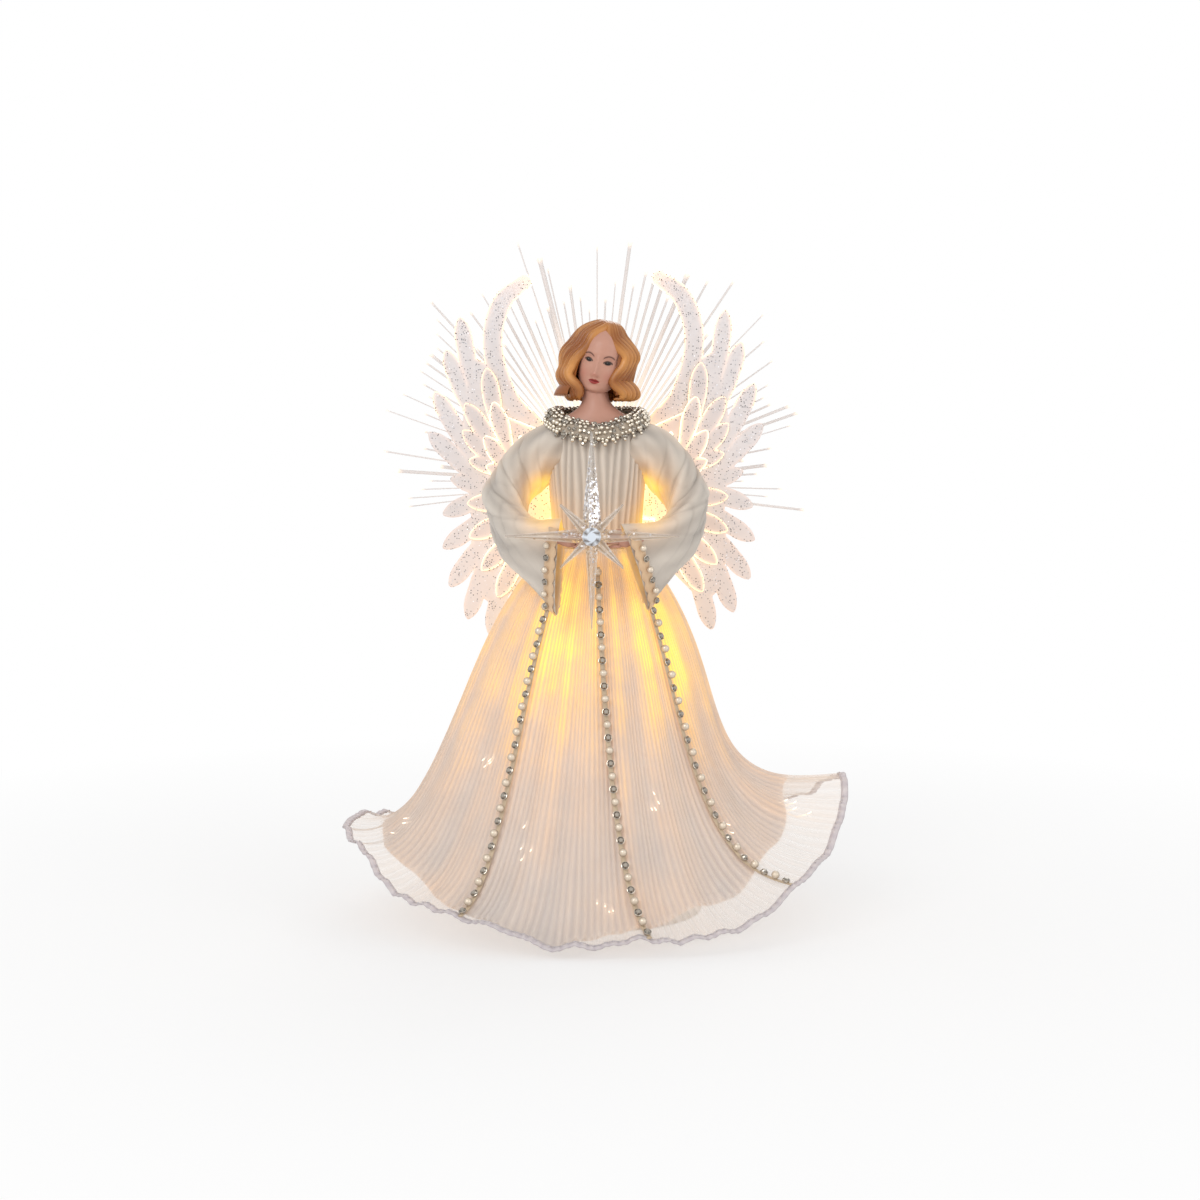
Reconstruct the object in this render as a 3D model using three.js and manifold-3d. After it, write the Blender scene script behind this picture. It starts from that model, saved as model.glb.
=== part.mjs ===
// A lighted angel for the tip of a christmas tree, in millimetres, +Z up.
// The origin is on the ground at the middle of the skirt, and the angel faces -Y.
// The cone carries everything: the doll and the lamps stand in it, and the wings and fibres hang behind it.
import * as THREE from "three";
import { mergeVertices } from "three/addons/utils/BufferGeometryUtils.js";
import Module from "manifold-3d";

const wasm = await Module();
wasm.setup();

// Clearances that all pieces share
const seatGap = 0.3;
const clothGap = 0.8;
const cutOverrun = 3;
const mergeDistance = 0.001;

// Cone that slips over the tip of the tree
const coneFootRadius = 55;
const coneTopRadius = 13;
const coneHeight = 232;
const coneWall = 1.4;
const coneSides = 32;

// Dress: the overskirt, its lining and its stitched hem
const waistDrop = 42;
const waistHeight = coneHeight - waistDrop;
const skirtReach = 134;
const organzaWall = 0.7;
const liningWall = 0.5;
const waistEase = 0.1;
const waistRadius = coneRadiusAt(waistHeight) + liningWall + clothGap + organzaWall + waistEase;
const hemWidth = 3.5;
const hemWall = 0.5;
const hemWaveDepth = 5;
const hemWaveCount = 9;
const skirtColumns = 36;
// One row for each eighth of a turn from +X: the two control points of the profile and the hem,
// each as a share of the reach and a share of the waist height
const skirtProfileShares = [
  [0.597, 0.632, 0.269, 0.305, 0.975, 0.33],
  [0.537, 0.632, 0.36, 0.22, 0.88, 0.15],
  [0.463, 0.658, 0.463, 0.158, 0.82, 0.022],
  [0.493, 0.684, 0.463, 0.147, 0.88, 0.11],
  [0.56, 0.789, 0.582, 0.132, 0.995, 0.225],
  [0.463, 0.737, 0.567, 0.116, 0.9, 0.09],
  [0.373, 0.684, 0.537, 0.105, 0.82, 0.015],
  [0.433, 0.658, 0.433, 0.147, 0.925, 0.085],
];
const skirtRowShares = [0, 0.15, 0.3, 0.45, 0.6, 0.74, 0.86, 0.94, 1];
const liningRowCount = 7;

// Bodice of fluted cloth from the waist to the slanted neckline
const bodiceWall = 1;
const chestHalfWidth = 26;
const chestFrontEase = 1.5;
const chestHalfDepth = coneTopRadius + bodiceWall + chestFrontEase;
const neckLength = 37;
const chinHeight = coneHeight + neckLength;
const neckFrontDrop = 24;
const neckBackDrop = 11;
const neckFrontHeight = chinHeight - neckFrontDrop;
const neckBackHeight = chinHeight - neckBackDrop;
const fluteDepth = 0.8;
const fluteCount = 12;
const bodiceColumns = 36;
const bodiceRowShares = [0, 0.35, 0.72, 1];
const chestWidthRiseShare = 0.71;
const chestDepthRiseShare = 0.83;

// Bell sleeves
const sleeveWall = 1;
const shoulderRise = 11;
const shoulderHeight = coneHeight + shoulderRise;
const elbowReach = 45;
const cuffReach = 24;
const cuffLead = 23.3;
const cuffForward = waistRadius + cuffLead;
const cuffDrop = 60;
const cuffHeight = shoulderHeight - cuffDrop;
const upperArmThickness = 30;
const cuffThickness = 12;
const cuffDepth = 49;
const cuffTiltDeg = 15;
const sleeveSides = 16;
const tiltFirstSection = 3;
// One row for each section above the cuff: reach, forward and drop as shares of the elbow's reach, of the
// cuff's place forward and of the drop to it, then half height and half width as shares of the arm's
const sleeveSectionShares = [
  [0.467, -0.02, 0, 0.9, 1],
  [0.69, -0.04, 0.125, 0.97, 1],
  [0.878, -0.02, 0.283, 0.97, 1],
  [1.033, 0.13, 0.5, 0.87, 0.8],
  [0.956, 0.45, 0.733, 1, 0.65],
  [0.744, 0.78, 0.892, 1.27, 0.55],
];

// Doll bust: one casting of head, neck and shoulder plate
const bustSpigotDepth = 6;
const plateSideEase = 3;
const plateFrontEase = 2.5;
const plateHalfWidth = chestHalfWidth - bodiceWall - plateSideEase;
const plateHalfDepth = chestHalfDepth - bodiceWall - plateFrontEase;
const neckRadius = 7;
const headHeight = 37.5;
const crownHeight = chinHeight + headHeight;
const faceWidth = 22.6;
const hairWidth = 39;
const curlWidth = 42.6;
const hairDepth = 34;
const hairDrop = 5;
const hairFootHeight = chinHeight - hairDrop;
const noseLength = 2.2;
const headTiltDeg = 11.5;
const headTurnDeg = -5;
const bustSides = 16;
const headSides = 20;
const hairCrownWall = 2.8;
// Rings of the shoulder plate and of the neck: half width, half depth and rise from the cone to the chin
const plateRingShares = [
  [0.75, 0.95, 0],
  [0.95, 1, 0.3],
  [1, 0.95, 0.5],
  [0.85, 0.85, 0.64],
];
const neckRingShares = [
  [1.5, 1.2, 0.78],
  [1, 1, 0.9],
  [0.95, 1, 1.19],
];
const neckLeanShare = 0.3;
// Rings of the head from the chin to the scalp: rise, half width, half depth and place forward
const faceRingShares = [
  [0.04, 0.34, 0.33, 0.16],
  [0.12, 0.6, 0.6, 0.11],
  [0.25, 0.84, 0.94, 0.04],
  [0.42, 0.98, 1.1, 0.01],
  [0.6, 1, 1.14, 0],
  [0.78, 0.9, 1.05, 0],
  [0.92, 0.6, 0.68, 0],
];
const noseWidthShare = 0.14;
const noseRiseShare = 0.4;
const noseSpanShare = 0.2;
// Rings of the hair from its foot to the crown: rise, size and how far the ring has the width of the curls
const hairRingShares = [
  [0, 0.85, 0],
  [0.09, 0.85, 0.35],
  [0.18, 1, 0.81],
  [0.27, 1, 0.74],
  [0.36, 1, 0.28],
  [0.45, 1, 0],
  [0.55, 0.996, 0],
  [0.64, 0.964, 0],
  [0.73, 0.895, 0],
  [0.82, 0.78, 0],
  [0.91, 0.6, 0],
  [1, 0.2, 0],
];
const hairBackShare = 0.1;
const hairWaveShare = 0.035;
const hairWaveCount = 5;
const hairWaveTwist = 9;
const hairRippleShare = 0.03;
const hairRippleTwist = 22;
// The room that the hair leaves for the face: half width and depth as shares of its width, and rise
const faceRoomShares = [
  [0.42, 1, -0.22],
  [0.47, 1, 0],
  [0.5, 1, 0.45],
  [0.36, 0.9, 0.66],
  [0.05, 0.8, 0.78],
];

// Arms: one wire through the cone with a hand on each end
const wireRadius = 1;
const wireDrop = 10;
const wireHeight = coneHeight - wireDrop;
const handReach = 14;
const handLead = 10;
const handForward = cuffForward + handLead;
const handRise = 13;
const handHeight = cuffHeight + handRise;
const handLength = 11;
const handWidth = 8;
const handThickness = 4;
// Palm, closed fingers and thumb, as shares of the hand's length, thickness and width: place, then half size
const handLumpShares = [
  [[0, 0, 0], [0.5, 0.5, 0.5]],
  [[-0.4, 0.25, -0.125], [0.4, 0.5, 0.45]],
  [[-0.25, 0, 0.45], [0.3, 0.4, 0.22]],
];
// Points of one arm's wire from the shoulder to the wrist, as the first three shares of the sleeve
const armPointShares = [
  [0.51, -0.04, 0.165],
  [0.745, -0.02, 0.11],
  [1, 0, 0.293],
  [1.045, 0.2, 0.45],
  [1, 0.5, 0.643],
  [0.72, 0.85, 0.808],
];

// Star that the hands hold, and its gem
const starLead = 4;
const starForward = handForward + starLead;
const starRise = 2.6;
const starHeight = handHeight + starRise;
const starSide = -2.5;
const starUpLength = 51;
const starSideLength = 43;
const starDownLength = 46;
const starShortLength = 23;
const starUpRadius = 4.5;
const starSideRadius = 3.1;
const starDownRadius = 2.8;
const starShortRadius = 3;
const starCoreRadius = 5;
const starShortTiltDeg = 18;
const gemRadius = 4.7;
const gemDepth = 3.4;
const gemProfileShares = [[0.92, 0], [1, 0.3], [0.55, 1]];

// Strings of beads, and the collar's rows of beads on a ribbon
const beadRadius = 2.1;
const beadPitch = 6.7;
const beadSink = 0.5;
const beadSides = 5;
const cordRadius = 0.6;
const ribbonWall = 0.6;
const sampleCount = 400;
const collarBeadRadius = 1.9;
const collarRowCount = 2;
const collarBeadCount = 20;
// Where each strip starts at the waist and ends at the hem, round from +X
const trimNames = ["left", "centre", "right"];
const trimTopTurnsDeg = [-128, -90, -43];
const trimHemTurnsDeg = [-124, -77, -40];
const trimTopShares = [0.15, 0.05, 0.05];
const trimFootShare = 0.985;
const cuffTrimShare = 0.86;
const cuffTrimLift = 0.22;
const collarSideInset = 4.2;
const collarFrontInset = 1.5;
const collarHalfWidth = chestHalfWidth - collarSideInset;
const collarHalfDepth = chestHalfDepth - collarFrontInset;

// Wings: three layers of die-cut sheet on a bent bracket
const wingSheet = 0.8;
const wingSweepDeg = 10;
const wingReach = 91;
const wingHeight = 110;
const wingRootDrop = 10;
const wingRootHeight = coneHeight - wingRootDrop;
const featherWidth = 11;
const archWidth = 11;
const archSteps = 10;
// A feather's edge from its root to its tip: how far back, and how far to the side
const featherEdgeShares = [[1, 0.3], [0.6, 0.6], [0.12, 0.62]];
const rivetRadius = 1.2;
const rivetHeadRadius = 2.4;
const rivetHeadHeight = 0.9;
const rivetSpacing = 16;
const bracketWall = 1.5;
const bracketBack = 24;
const bracketHalfHeight = 15;
const bracketHalfWidth = 10;
const earReach = 20;
const bossRadius = 5;

// Fibres and the lamp that lights them
const fibreHousingRadius = 6.5;
const fibreHousingWall = 1.2;
const fibreHousingLength = 9;
const fibreDiscRadius = 9;
const fibreDiscDepth = 3;
const fibreRadius = 0.5;
const fibreLength = 146;
const fibreSideLength = 121;
const fibreShortShare = 0.7;
const fibreCount = 38;
const fibreSweepDeg = 15;
const fibreSpreadDeg = 196;
const skirtFibreCount = 14;
const skirtFibreRingDrop = 40;
const skirtFibreRingHeight = waistHeight - skirtFibreRingDrop;
const skirtFibreRingDepth = 4;
const skirtFibreRingWall = 1.2;
const skirtFibreReachShares = [0.62, 0.5];

// Warm lamps in sockets round the cone
const lampRingDrop = 55;
const lampRingHeight = waistHeight - lampRingDrop;
// Places round the cone, as shares of the space between two of the skirt's fibres
const lampPlaceShares = [-4.5, -1.5, 1.5, 5.5];
const socketRadius = 3.2;
const socketFlange = 1.2;
const socketLength = 9;
const lampRadius = 2.4;
const lampRoom = 1.5;

// Battery box inside the back of the cone
const cellRadius = 5.25;
const cellLength = 44.5;
const cellPitch = 11.2;
const boxHalfWidth = 21;
const boxFootHeight = 6;
const boxHeight = 68;
const boxTopHeight = boxFootHeight + boxHeight;
const boxWall = 2;
const cavityDepth = 11.5;
const boxRoom = 0.8;
const boxBackReach = Math.sqrt((coneRadiusAt(boxTopHeight) - coneWall) ** 2 - boxHalfWidth ** 2);
const boxFront = boxBackReach - cavityDepth - boxRoom;
const doorWall = 1.6;
const doorHalfWidth = 18;
const railLip = 1.6;
const contactWall = 0.5;
const springHeight = 1.9;
const nubHeight = 0.7;
const boardWall = 1.2;
const boardRoom = 9;
const switchTravel = 4;
const switchWidth = 8;
const switchDepth = 5;
const switchTabWidth = 4;
const switchDrop = 2;
const switchRoom = 3.3;
const leadRadius = 1.2;
const leadJunctionShare = 0.557;

// Helpers for solids

/** A closed geometry as a solid, turned to face outwards. */
function solid(geometry) {
  const plain = geometry.index ? geometry.toNonIndexed() : geometry.clone();
  const bare = new THREE.BufferGeometry();
  bare.setAttribute("position", plain.getAttribute("position"));
  const merged = mergeVertices(bare, mergeDistance);
  const triVerts = new Uint32Array(merged.index.array);
  const vertProperties = merged.attributes.position.array;
  const made = new wasm.Manifold(new wasm.Mesh({ numProp: 3, vertProperties, triVerts }));
  if (made.volume() >= 0) return made;
  for (let i = 0; i < triVerts.length; i += 3) {
    [triVerts[i + 1], triVerts[i + 2]] = [triVerts[i + 2], triVerts[i + 1]];
  }
  return new wasm.Manifold(new wasm.Mesh({ numProp: 3, vertProperties, triVerts }));
}

/** A solid as a geometry. */
function geometryOf(made) {
  const mesh = made.getMesh();
  const places = new Float32Array(mesh.numVert * 3);
  for (let i = 0; i < mesh.numVert; i += 1) {
    const first = i * mesh.numProp;
    places.set(mesh.vertProperties.subarray(first, first + 3), i * 3);
  }
  const geometry = new THREE.BufferGeometry();
  geometry.setAttribute("position", new THREE.BufferAttribute(places, 3));
  geometry.setIndex(new THREE.BufferAttribute(new Uint32Array(mesh.triVerts), 1));
  geometry.computeVertexNormals();
  return geometry;
}

/** All the solids of a list joined. */
function joined(list) {
  return list.reduce((whole, next) => whole.add(next));
}

/** The solid moved by a matrix. */
function moved(made, matrix) {
  return solid(geometryOf(made).applyMatrix4(matrix));
}

/** The solid on the other side of the figure. */
function mirrored(made) {
  return moved(made, new THREE.Matrix4().makeScale(-1, 1, 1));
}

/** A block from one corner to the other. */
function block(low, high) {
  const size = high.map((value, i) => value - low[i]);
  const middle = high.map((value, i) => (value + low[i]) / 2);
  return solid(new THREE.BoxGeometry(...size).translate(...middle));
}

/** A round rod from one point to another. */
function rod(from, to, radius, sides = 10, topRadius = radius) {
  const start = new THREE.Vector3(...from);
  const along = new THREE.Vector3(...to).sub(start);
  const length = along.length();
  const geometry = new THREE.CylinderGeometry(topRadius, radius, length, sides).translate(0, length / 2, 0);
  const turn = new THREE.Quaternion().setFromUnitVectors(new THREE.Vector3(0, 1, 0), along.normalize());
  return solid(geometry.applyQuaternion(turn).translate(start.x, start.y, start.z));
}

/** A profile of [radius, height] points turned about the Z axis. */
function turned(profile, sides) {
  const points = profile.map(([radius, height]) => new THREE.Vector2(radius, height));
  return solid(new THREE.LatheGeometry(points, sides).rotateX(Math.PI / 2));
}

/** A closed ring of rings: each ring joins the next, and the last joins the first. */
function wrapped(rings) {
  return skinned(rings, true);
}

/** Rings joined one to the next, with a fan that closes each end. */
function lofted(rings) {
  return skinned(rings, false);
}

function skinned(rings, closed) {
  const count = rings[0].length;
  const places = rings.flat().flatMap((point) => [point.x, point.y, point.z]);
  const index = [];
  const spans = closed ? rings.length : rings.length - 1;
  for (let i = 0; i < spans; i += 1) {
    const upper = (i + 1) % rings.length;
    for (let j = 0; j < count; j += 1) {
      const next = (j + 1) % count;
      const a = i * count + j;
      const b = i * count + next;
      const c = upper * count + j;
      const d = upper * count + next;
      index.push(a, b, c, b, d, c);
    }
  }
  if (!closed) {
    [rings[0], rings[rings.length - 1]].forEach((ring, end) => {
      const middle = ring.reduce((sum, point) => sum.clone().add(point), new THREE.Vector3());
      middle.divideScalar(count);
      const centre = places.length / 3;
      const first = end ? (rings.length - 1) * count : 0;
      places.push(middle.x, middle.y, middle.z);
      for (let j = 0; j < count; j += 1) {
        const next = (j + 1) % count;
        if (end) index.push(centre, first + j, first + next);
        else index.push(centre, first + next, first + j);
      }
    });
  }
  const geometry = new THREE.BufferGeometry();
  geometry.setAttribute("position", new THREE.Float32BufferAttribute(places, 3));
  geometry.setIndex(index);
  return solid(geometry);
}

/** A round wire along a smooth curve through points. */
function wire(points, radius, sides, steps) {
  const path = new THREE.CatmullRomCurve3(points.map((point) => new THREE.Vector3(...point)));
  const section = new THREE.Shape();
  for (let i = 0; i < sides; i += 1) {
    const turn = (2 * Math.PI * i) / sides;
    const x = radius * Math.cos(turn);
    const y = radius * Math.sin(turn);
    if (i) section.lineTo(x, y);
    else section.moveTo(x, y);
  }
  section.closePath();
  return solid(new THREE.ExtrudeGeometry(section, { steps, extrudePath: path, bevelEnabled: false }));
}

/** The value between two others. */
function mix(from, to, share) {
  return from + (to - from) * share;
}

/** A smooth value round a closed table, at a place counted in its entries. */
function around(table, place) {
  const count = table.length;
  const first = Math.floor(place);
  const share = place - first;
  const at = (i) => table[(((first + i) % count) + count) % count];
  const [p0, p1, p2, p3] = [at(-1), at(0), at(1), at(2)];
  const slopeIn = (p2 - p0) / 2;
  const slopeOut = (p3 - p1) / 2;
  const bend = 2 * p1 - 2 * p2 + slopeIn + slopeOut;
  const pull = 3 * p2 - 3 * p1 - 2 * slopeIn - slopeOut;
  return ((bend * share + pull) * share + slopeIn) * share + p1;
}

/** The outer radius of the cone at a height. */
function coneRadiusAt(height) {
  return mix(coneFootRadius, coneTopRadius, height / coneHeight);
}

// The skirt's surface

/** A point of the skirt: column counts round from +X, share runs from the waist to the hem. */
function skirtPoint(column, share, offset) {
  const turn = (2 * Math.PI * column) / skirtColumns;
  const place = (column * skirtProfileShares.length) / skirtColumns;
  const at = (i) => around(skirtProfileShares.map((row) => row[i]), place);
  const radii = [waistRadius, at(0) * skirtReach, at(2) * skirtReach, at(4) * skirtReach];
  const heights = [waistHeight, at(1) * waistHeight, at(3) * waistHeight, at(5) * waistHeight];
  const left = 1 - share;
  const weights = [left ** 3, 3 * left * left * share, 3 * left * share * share, share ** 3];
  const cross = 2 * left * share;
  const slopes = [-left * left, left * left - cross, cross - share * share, share * share];
  const sum = (values, by) => values.reduce((total, value, i) => total + value * by[i], 0);
  const run = sum(radii, slopes);
  const drop = sum(heights, slopes);
  const length = Math.hypot(run, drop);
  const lift = hemWaveDepth * share ** 3 * (0.5 + 0.5 * Math.cos(hemWaveCount * turn));
  const out = offset + lift;
  const radius = sum(radii, weights) - (drop / length) * out;
  const height = sum(heights, weights) + (run / length) * out;
  return new THREE.Vector3(radius * Math.cos(turn), radius * Math.sin(turn), height);
}

/** A point of the faceted skirt, between the rows and columns that its facets have. */
function skirtFacetPoint(column, share, offset) {
  const left = Math.floor(column);
  const rows = skirtRowShares;
  const row = Math.min(rows.findLastIndex((value) => value <= share), rows.length - 2);
  const u = column - left;
  const v = (share - rows[row]) / (rows[row + 1] - rows[row]);
  const corner = (i, j) => skirtPoint(left + i, rows[row + j], offset);
  const onLower = u + v <= 1;
  const base = onLower ? corner(0, 0) : corner(1, 1);
  const across = onLower ? corner(1, 0) : corner(0, 1);
  const along = onLower ? corner(0, 1) : corner(1, 0);
  const point = base.clone();
  point.addScaledVector(across.sub(base), onLower ? u : 1 - u);
  point.addScaledVector(along.sub(base), onLower ? v : 1 - v);
  return point;
}

/** A sheet that follows the skirt between two offsets, down the rows given. */
function skirtSheet(rowShares, inner, outer) {
  const ring = (share, offset) => {
    const columns = Array.from({ length: skirtColumns }, (_, i) => i);
    return columns.map((column) => skirtFacetPoint(column, share, offset));
  };
  const outside = rowShares.map((share) => ring(share, outer));
  const inside = rowShares.map((share) => ring(share, inner)).reverse();
  return wrapped([...outside, ...inside]);
}

function makeSkirt() {
  const liningRows = skirtRowShares.slice(0, liningRowCount);
  const hemRun = skirtFacetPoint(0, 1, 0).distanceTo(skirtFacetPoint(0, skirtRowShares.at(-2), 0));
  const hemShare = 1 - ((1 - skirtRowShares.at(-2)) * hemWidth) / hemRun;
  const liningTop = -organzaWall - clothGap;
  return {
    skirt_overlay: skirtSheet(skirtRowShares, -organzaWall, 0),
    skirt_lining: skirtSheet(liningRows, liningTop - liningWall, liningTop),
    hem_band: skirtSheet([hemShare, 1], -organzaWall - seatGap - hemWall, -organzaWall - seatGap),
  };
}

// The cone and what stands in it

/** A point on a circle round the Z axis. */
function onCircle(radius, turn, height) {
  return [radius * Math.cos(turn), radius * Math.sin(turn), height];
}

/** The space inside the cone, made smaller by a gap. */
function coneHollow(gap) {
  const shrink = coneWall + gap;
  return turned(
    [
      [0, -cutOverrun],
      [coneRadiusAt(-cutOverrun) - shrink, -cutOverrun],
      [coneRadiusAt(coneHeight + cutOverrun) - shrink, coneHeight + cutOverrun],
      [0, coneHeight + cutOverrun],
    ],
    coneSides,
  );
}

/** A place along the arm from its shares. */
function alongArm([reach, forward, drop]) {
  return [reach * elbowReach, -forward * cuffForward, mix(shoulderHeight, cuffHeight, drop)];
}

/** The wire of the arms, or the room that it needs when it is made fatter. */
function armWire(radius) {
  const half = [
    [coneTopRadius, 2 * wireRadius, wireHeight],
    ...armPointShares.map(alongArm),
    [handReach + handLength / 2, -handForward, handHeight],
  ];
  const other = half.map(([x, y, z]) => [-x, y, z]).reverse();
  return wire([...other, [0, 2 * wireRadius, wireHeight], ...half], radius, 5, 38);
}

/** How far out the inside of the lining hangs at a turn and a height. */
function liningRadiusAt(turn, height) {
  const column = (skirtColumns * turn) / (2 * Math.PI);
  const offset = -organzaWall - clothGap - liningWall;
  let share = 0.5;
  for (let step = share / 2; step * waistHeight > mergeDistance; step /= 2) {
    share += skirtPoint(column, share, offset).z > height ? step : -step;
  }
  const { x, y } = skirtPoint(column, share, offset);
  return Math.hypot(x, y);
}

/** How far out the lamps reach: all alike, and as far as the closest part of the lining leaves room. */
function lampTipRadius() {
  const turns = lampPlaceShares.map((place) => (2 * Math.PI * place) / skirtFibreCount);
  return Math.min(...turns.map((turn) => liningRadiusAt(turn, lampRingHeight + lampRadius))) - lampRoom;
}

/** The socket and lamp at one turn round the cone. */
function makeLamp(turn) {
  const wall = coneRadiusAt(lampRingHeight);
  const reach = (radius) => onCircle(radius, turn, lampRingHeight);
  const back = wall - coneWall - socketLength / 2;
  const front = back + socketLength + socketFlange;
  const flangeBack = coneRadiusAt(lampRingHeight - socketRadius - socketFlange) + seatGap;
  const flange = rod(reach(flangeBack), reach(front), socketRadius + socketFlange);
  const barrel = rod(reach(back), reach(front), socketRadius);
  const hole = rod(reach(back + socketFlange), reach(front + cutOverrun), lampRadius + seatGap);
  const tip = lampTipRadius();
  const shoulder = (front + tip) / 2;
  const foot = rod(reach(back + socketFlange + seatGap), reach(shoulder), lampRadius, 8);
  const bulb = rod(reach(shoulder - seatGap), reach(tip), lampRadius, 8, lampRadius / 3);
  const bore = rod(reach(back), reach(front), socketRadius + seatGap);
  return { socket: flange.add(barrel).subtract(hole), lamp: foot.add(bulb), bore };
}

function makeConeAndLamps() {
  const foot = coneRadiusAt(0);
  const cone = turned(
    [
      [foot, 0],
      [coneTopRadius, coneHeight],
      [coneTopRadius - coneWall, coneHeight],
      [foot - coneWall, 0],
      [foot, 0],
    ],
    coneSides,
  );
  const lamps = lampPlaceShares.map((place) => makeLamp((2 * Math.PI * place) / skirtFibreCount));
  const bores = lamps.map((lamp) => lamp.bore);
  const at = (y) => [0, y, wingRootHeight];
  const bracketBore = rod(at(0), at(bracketBack), bossRadius - coneWall + seatGap, 16);
  const cuts = joined([...bores, bracketBore, armWire(wireRadius + seatGap)]);
  const made = { cone_base: cone.subtract(cuts) };
  lamps.forEach((lamp, i) => {
    made[`lamp_socket_${i + 1}`] = lamp.socket;
    made[`lamp_${i + 1}`] = lamp.lamp;
  });
  return made;
}

// The battery box

function makeBatteryBox() {
  const back = boxFront + boxWall + cavityDepth;
  const cellFoot = boxFootHeight + boxWall + switchRoom + boxWall + contactWall + springHeight + 2 * seatGap;
  const cellMiddle = boxFront + seatGap + cellRadius + seatGap;
  const cellTop = cellFoot + cellLength;
  const cavityFoot = cellFoot - springHeight - contactWall - 2 * seatGap;
  const cavityTop = cellTop + nubHeight + contactWall + 2 * seatGap;
  const boardFoot = cavityTop + boxWall / 2;
  const boardTop = boardFoot + boardRoom;
  const cavityHalf = cellPitch + cellRadius + seatGap;
  const railFront = boxFront - doorWall - 2 * seatGap - railLip;
  const doorFoot = boxFootHeight + boxWall;

  let box = block([-boxHalfWidth, railFront, boxFootHeight], [boxHalfWidth, coneFootRadius, boxTopHeight]);
  box = box.intersect(coneHollow(seatGap));
  const cut = (low, high) => {
    box = box.subtract(block(low, high));
  };
  const front = railFront - cutOverrun;
  cut([-cavityHalf, front, cavityFoot], [cavityHalf, back, cavityTop]);
  cut([-cavityHalf, front, boardFoot], [cavityHalf, back, boardTop]);
  const doorRoom = doorHalfWidth + seatGap;
  const doorBack = boxFront - doorWall - 2 * seatGap;
  cut([-doorRoom, doorBack, -cutOverrun], [doorRoom, boxFront, boardTop + boxWall / 2]);
  const between = doorHalfWidth - railLip;
  cut([-between, front, -cutOverrun], [between, boxFront, boardTop + boxWall / 2]);
  const over = boxHalfWidth + cutOverrun;
  cut([-over, front, boardTop + boxWall / 2], [over, boxFront, boxTopHeight + cutOverrun]);

  const knobMiddle = cellMiddle;
  const pocketFoot = boxFootHeight + boxWall;
  const halfKnob = switchWidth / 2 + seatGap;
  const halfDeep = switchDepth / 2 + seatGap;
  const halfTab = switchTabWidth / 2 + seatGap;
  const pocket = block(
    [-halfKnob, knobMiddle - halfDeep, pocketFoot],
    [halfKnob + switchTravel, knobMiddle + halfDeep, pocketFoot + switchRoom],
  );
  const slot = block(
    [-halfTab, knobMiddle - halfTab, boxFootHeight - cutOverrun],
    [halfTab + switchTravel, knobMiddle + halfTab, pocketFoot + seatGap],
  );
  const leadHole = rod(
    [0, cellMiddle, boardTop - cutOverrun],
    [0, cellMiddle, boxTopHeight + cutOverrun],
    leadRadius + 2 * seatGap,
    12,
  );
  box = box.subtract(pocket).subtract(slot).subtract(leadHole);

  const door = block(
    [-doorHalfWidth, boxFront - doorWall - seatGap, doorFoot],
    [doorHalfWidth, boxFront - seatGap, boardTop + boxWall / 2 - seatGap],
  );
  const gripFoot = doorFoot + boxWall;
  const ridges = [0, 1, 2].map((i) => {
    const low = gripFoot + 2 * i * boxWall;
    return block(
      [-cellRadius, boxFront - 1.5 * doorWall - seatGap, low],
      [cellRadius, boxFront - doorWall, low + boxWall / 2],
    );
  });

  const knobFoot = pocketFoot + seatGap;
  const knob = block(
    [-switchWidth / 2, knobMiddle - switchDepth / 2, knobFoot],
    [switchWidth / 2, knobMiddle + switchDepth / 2, pocketFoot + switchRoom - seatGap],
  );
  const tab = block(
    [-switchTabWidth / 2, knobMiddle - switchTabWidth / 2, boxFootHeight - switchDrop],
    [switchTabWidth / 2, knobMiddle + switchTabWidth / 2, knobFoot + seatGap],
  );

  const contactHalf = cavityHalf - seatGap;
  const contactDeep = cellRadius * 0.8;
  const plate = (low) =>
    block(
      [-contactHalf, cellMiddle - contactDeep, low],
      [contactHalf, cellMiddle + contactDeep, low + contactWall],
    );
  const lowPlate = cavityFoot + seatGap;
  const highPlate = cavityTop - seatGap - contactWall;
  const cells = [-1, 0, 1].map((i) => i * cellPitch);
  const springs = cells.map((x) =>
    rod(
      [x, cellMiddle, lowPlate + contactWall / 2],
      [x, cellMiddle, cellFoot - seatGap],
      cellRadius / 2,
      12,
      cellRadius / 4,
    ),
  );
  const nubs = cells.map((x) =>
    rod([x, cellMiddle, cellTop + seatGap], [x, cellMiddle, highPlate + contactWall / 2], cellRadius / 4, 12),
  );
  const boardHalf = cavityHalf - cellRadius / 2;
  const board = block(
    [-boardHalf, cellMiddle - cellRadius, boardFoot + seatGap],
    [boardHalf, cellMiddle + cellRadius, boardFoot + seatGap + boardWall],
  );
  const boardTopFace = boardFoot + seatGap + boardWall;
  const parts = [-1, 1].map((side) =>
    block(
      [side * boardHalf * 0.6 - boardWall, cellMiddle - 2 * boardWall, boardTopFace - boardWall / 2],
      [side * boardHalf * 0.6 + boardWall, cellMiddle + 2 * boardWall, boardTopFace + boardWall],
    ),
  );
  const made = {
    battery_box: box,
    battery_door: joined([door, ...ridges]),
    switch_knob: knob.add(tab),
    contact_lower: joined([plate(lowPlate), ...springs]),
    contact_upper: joined([plate(highPlate), ...nubs]),
    circuit_board: joined([board, ...parts]),
  };
  cells.forEach((x, i) => {
    made[`battery_${i + 1}`] = rod([x, cellMiddle, cellFoot], [x, cellMiddle, cellTop], cellRadius, 16);
  });
  made.lamp_lead = makeLead([0, cellMiddle, boardTopFace + seatGap]);
  return made;
}

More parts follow.
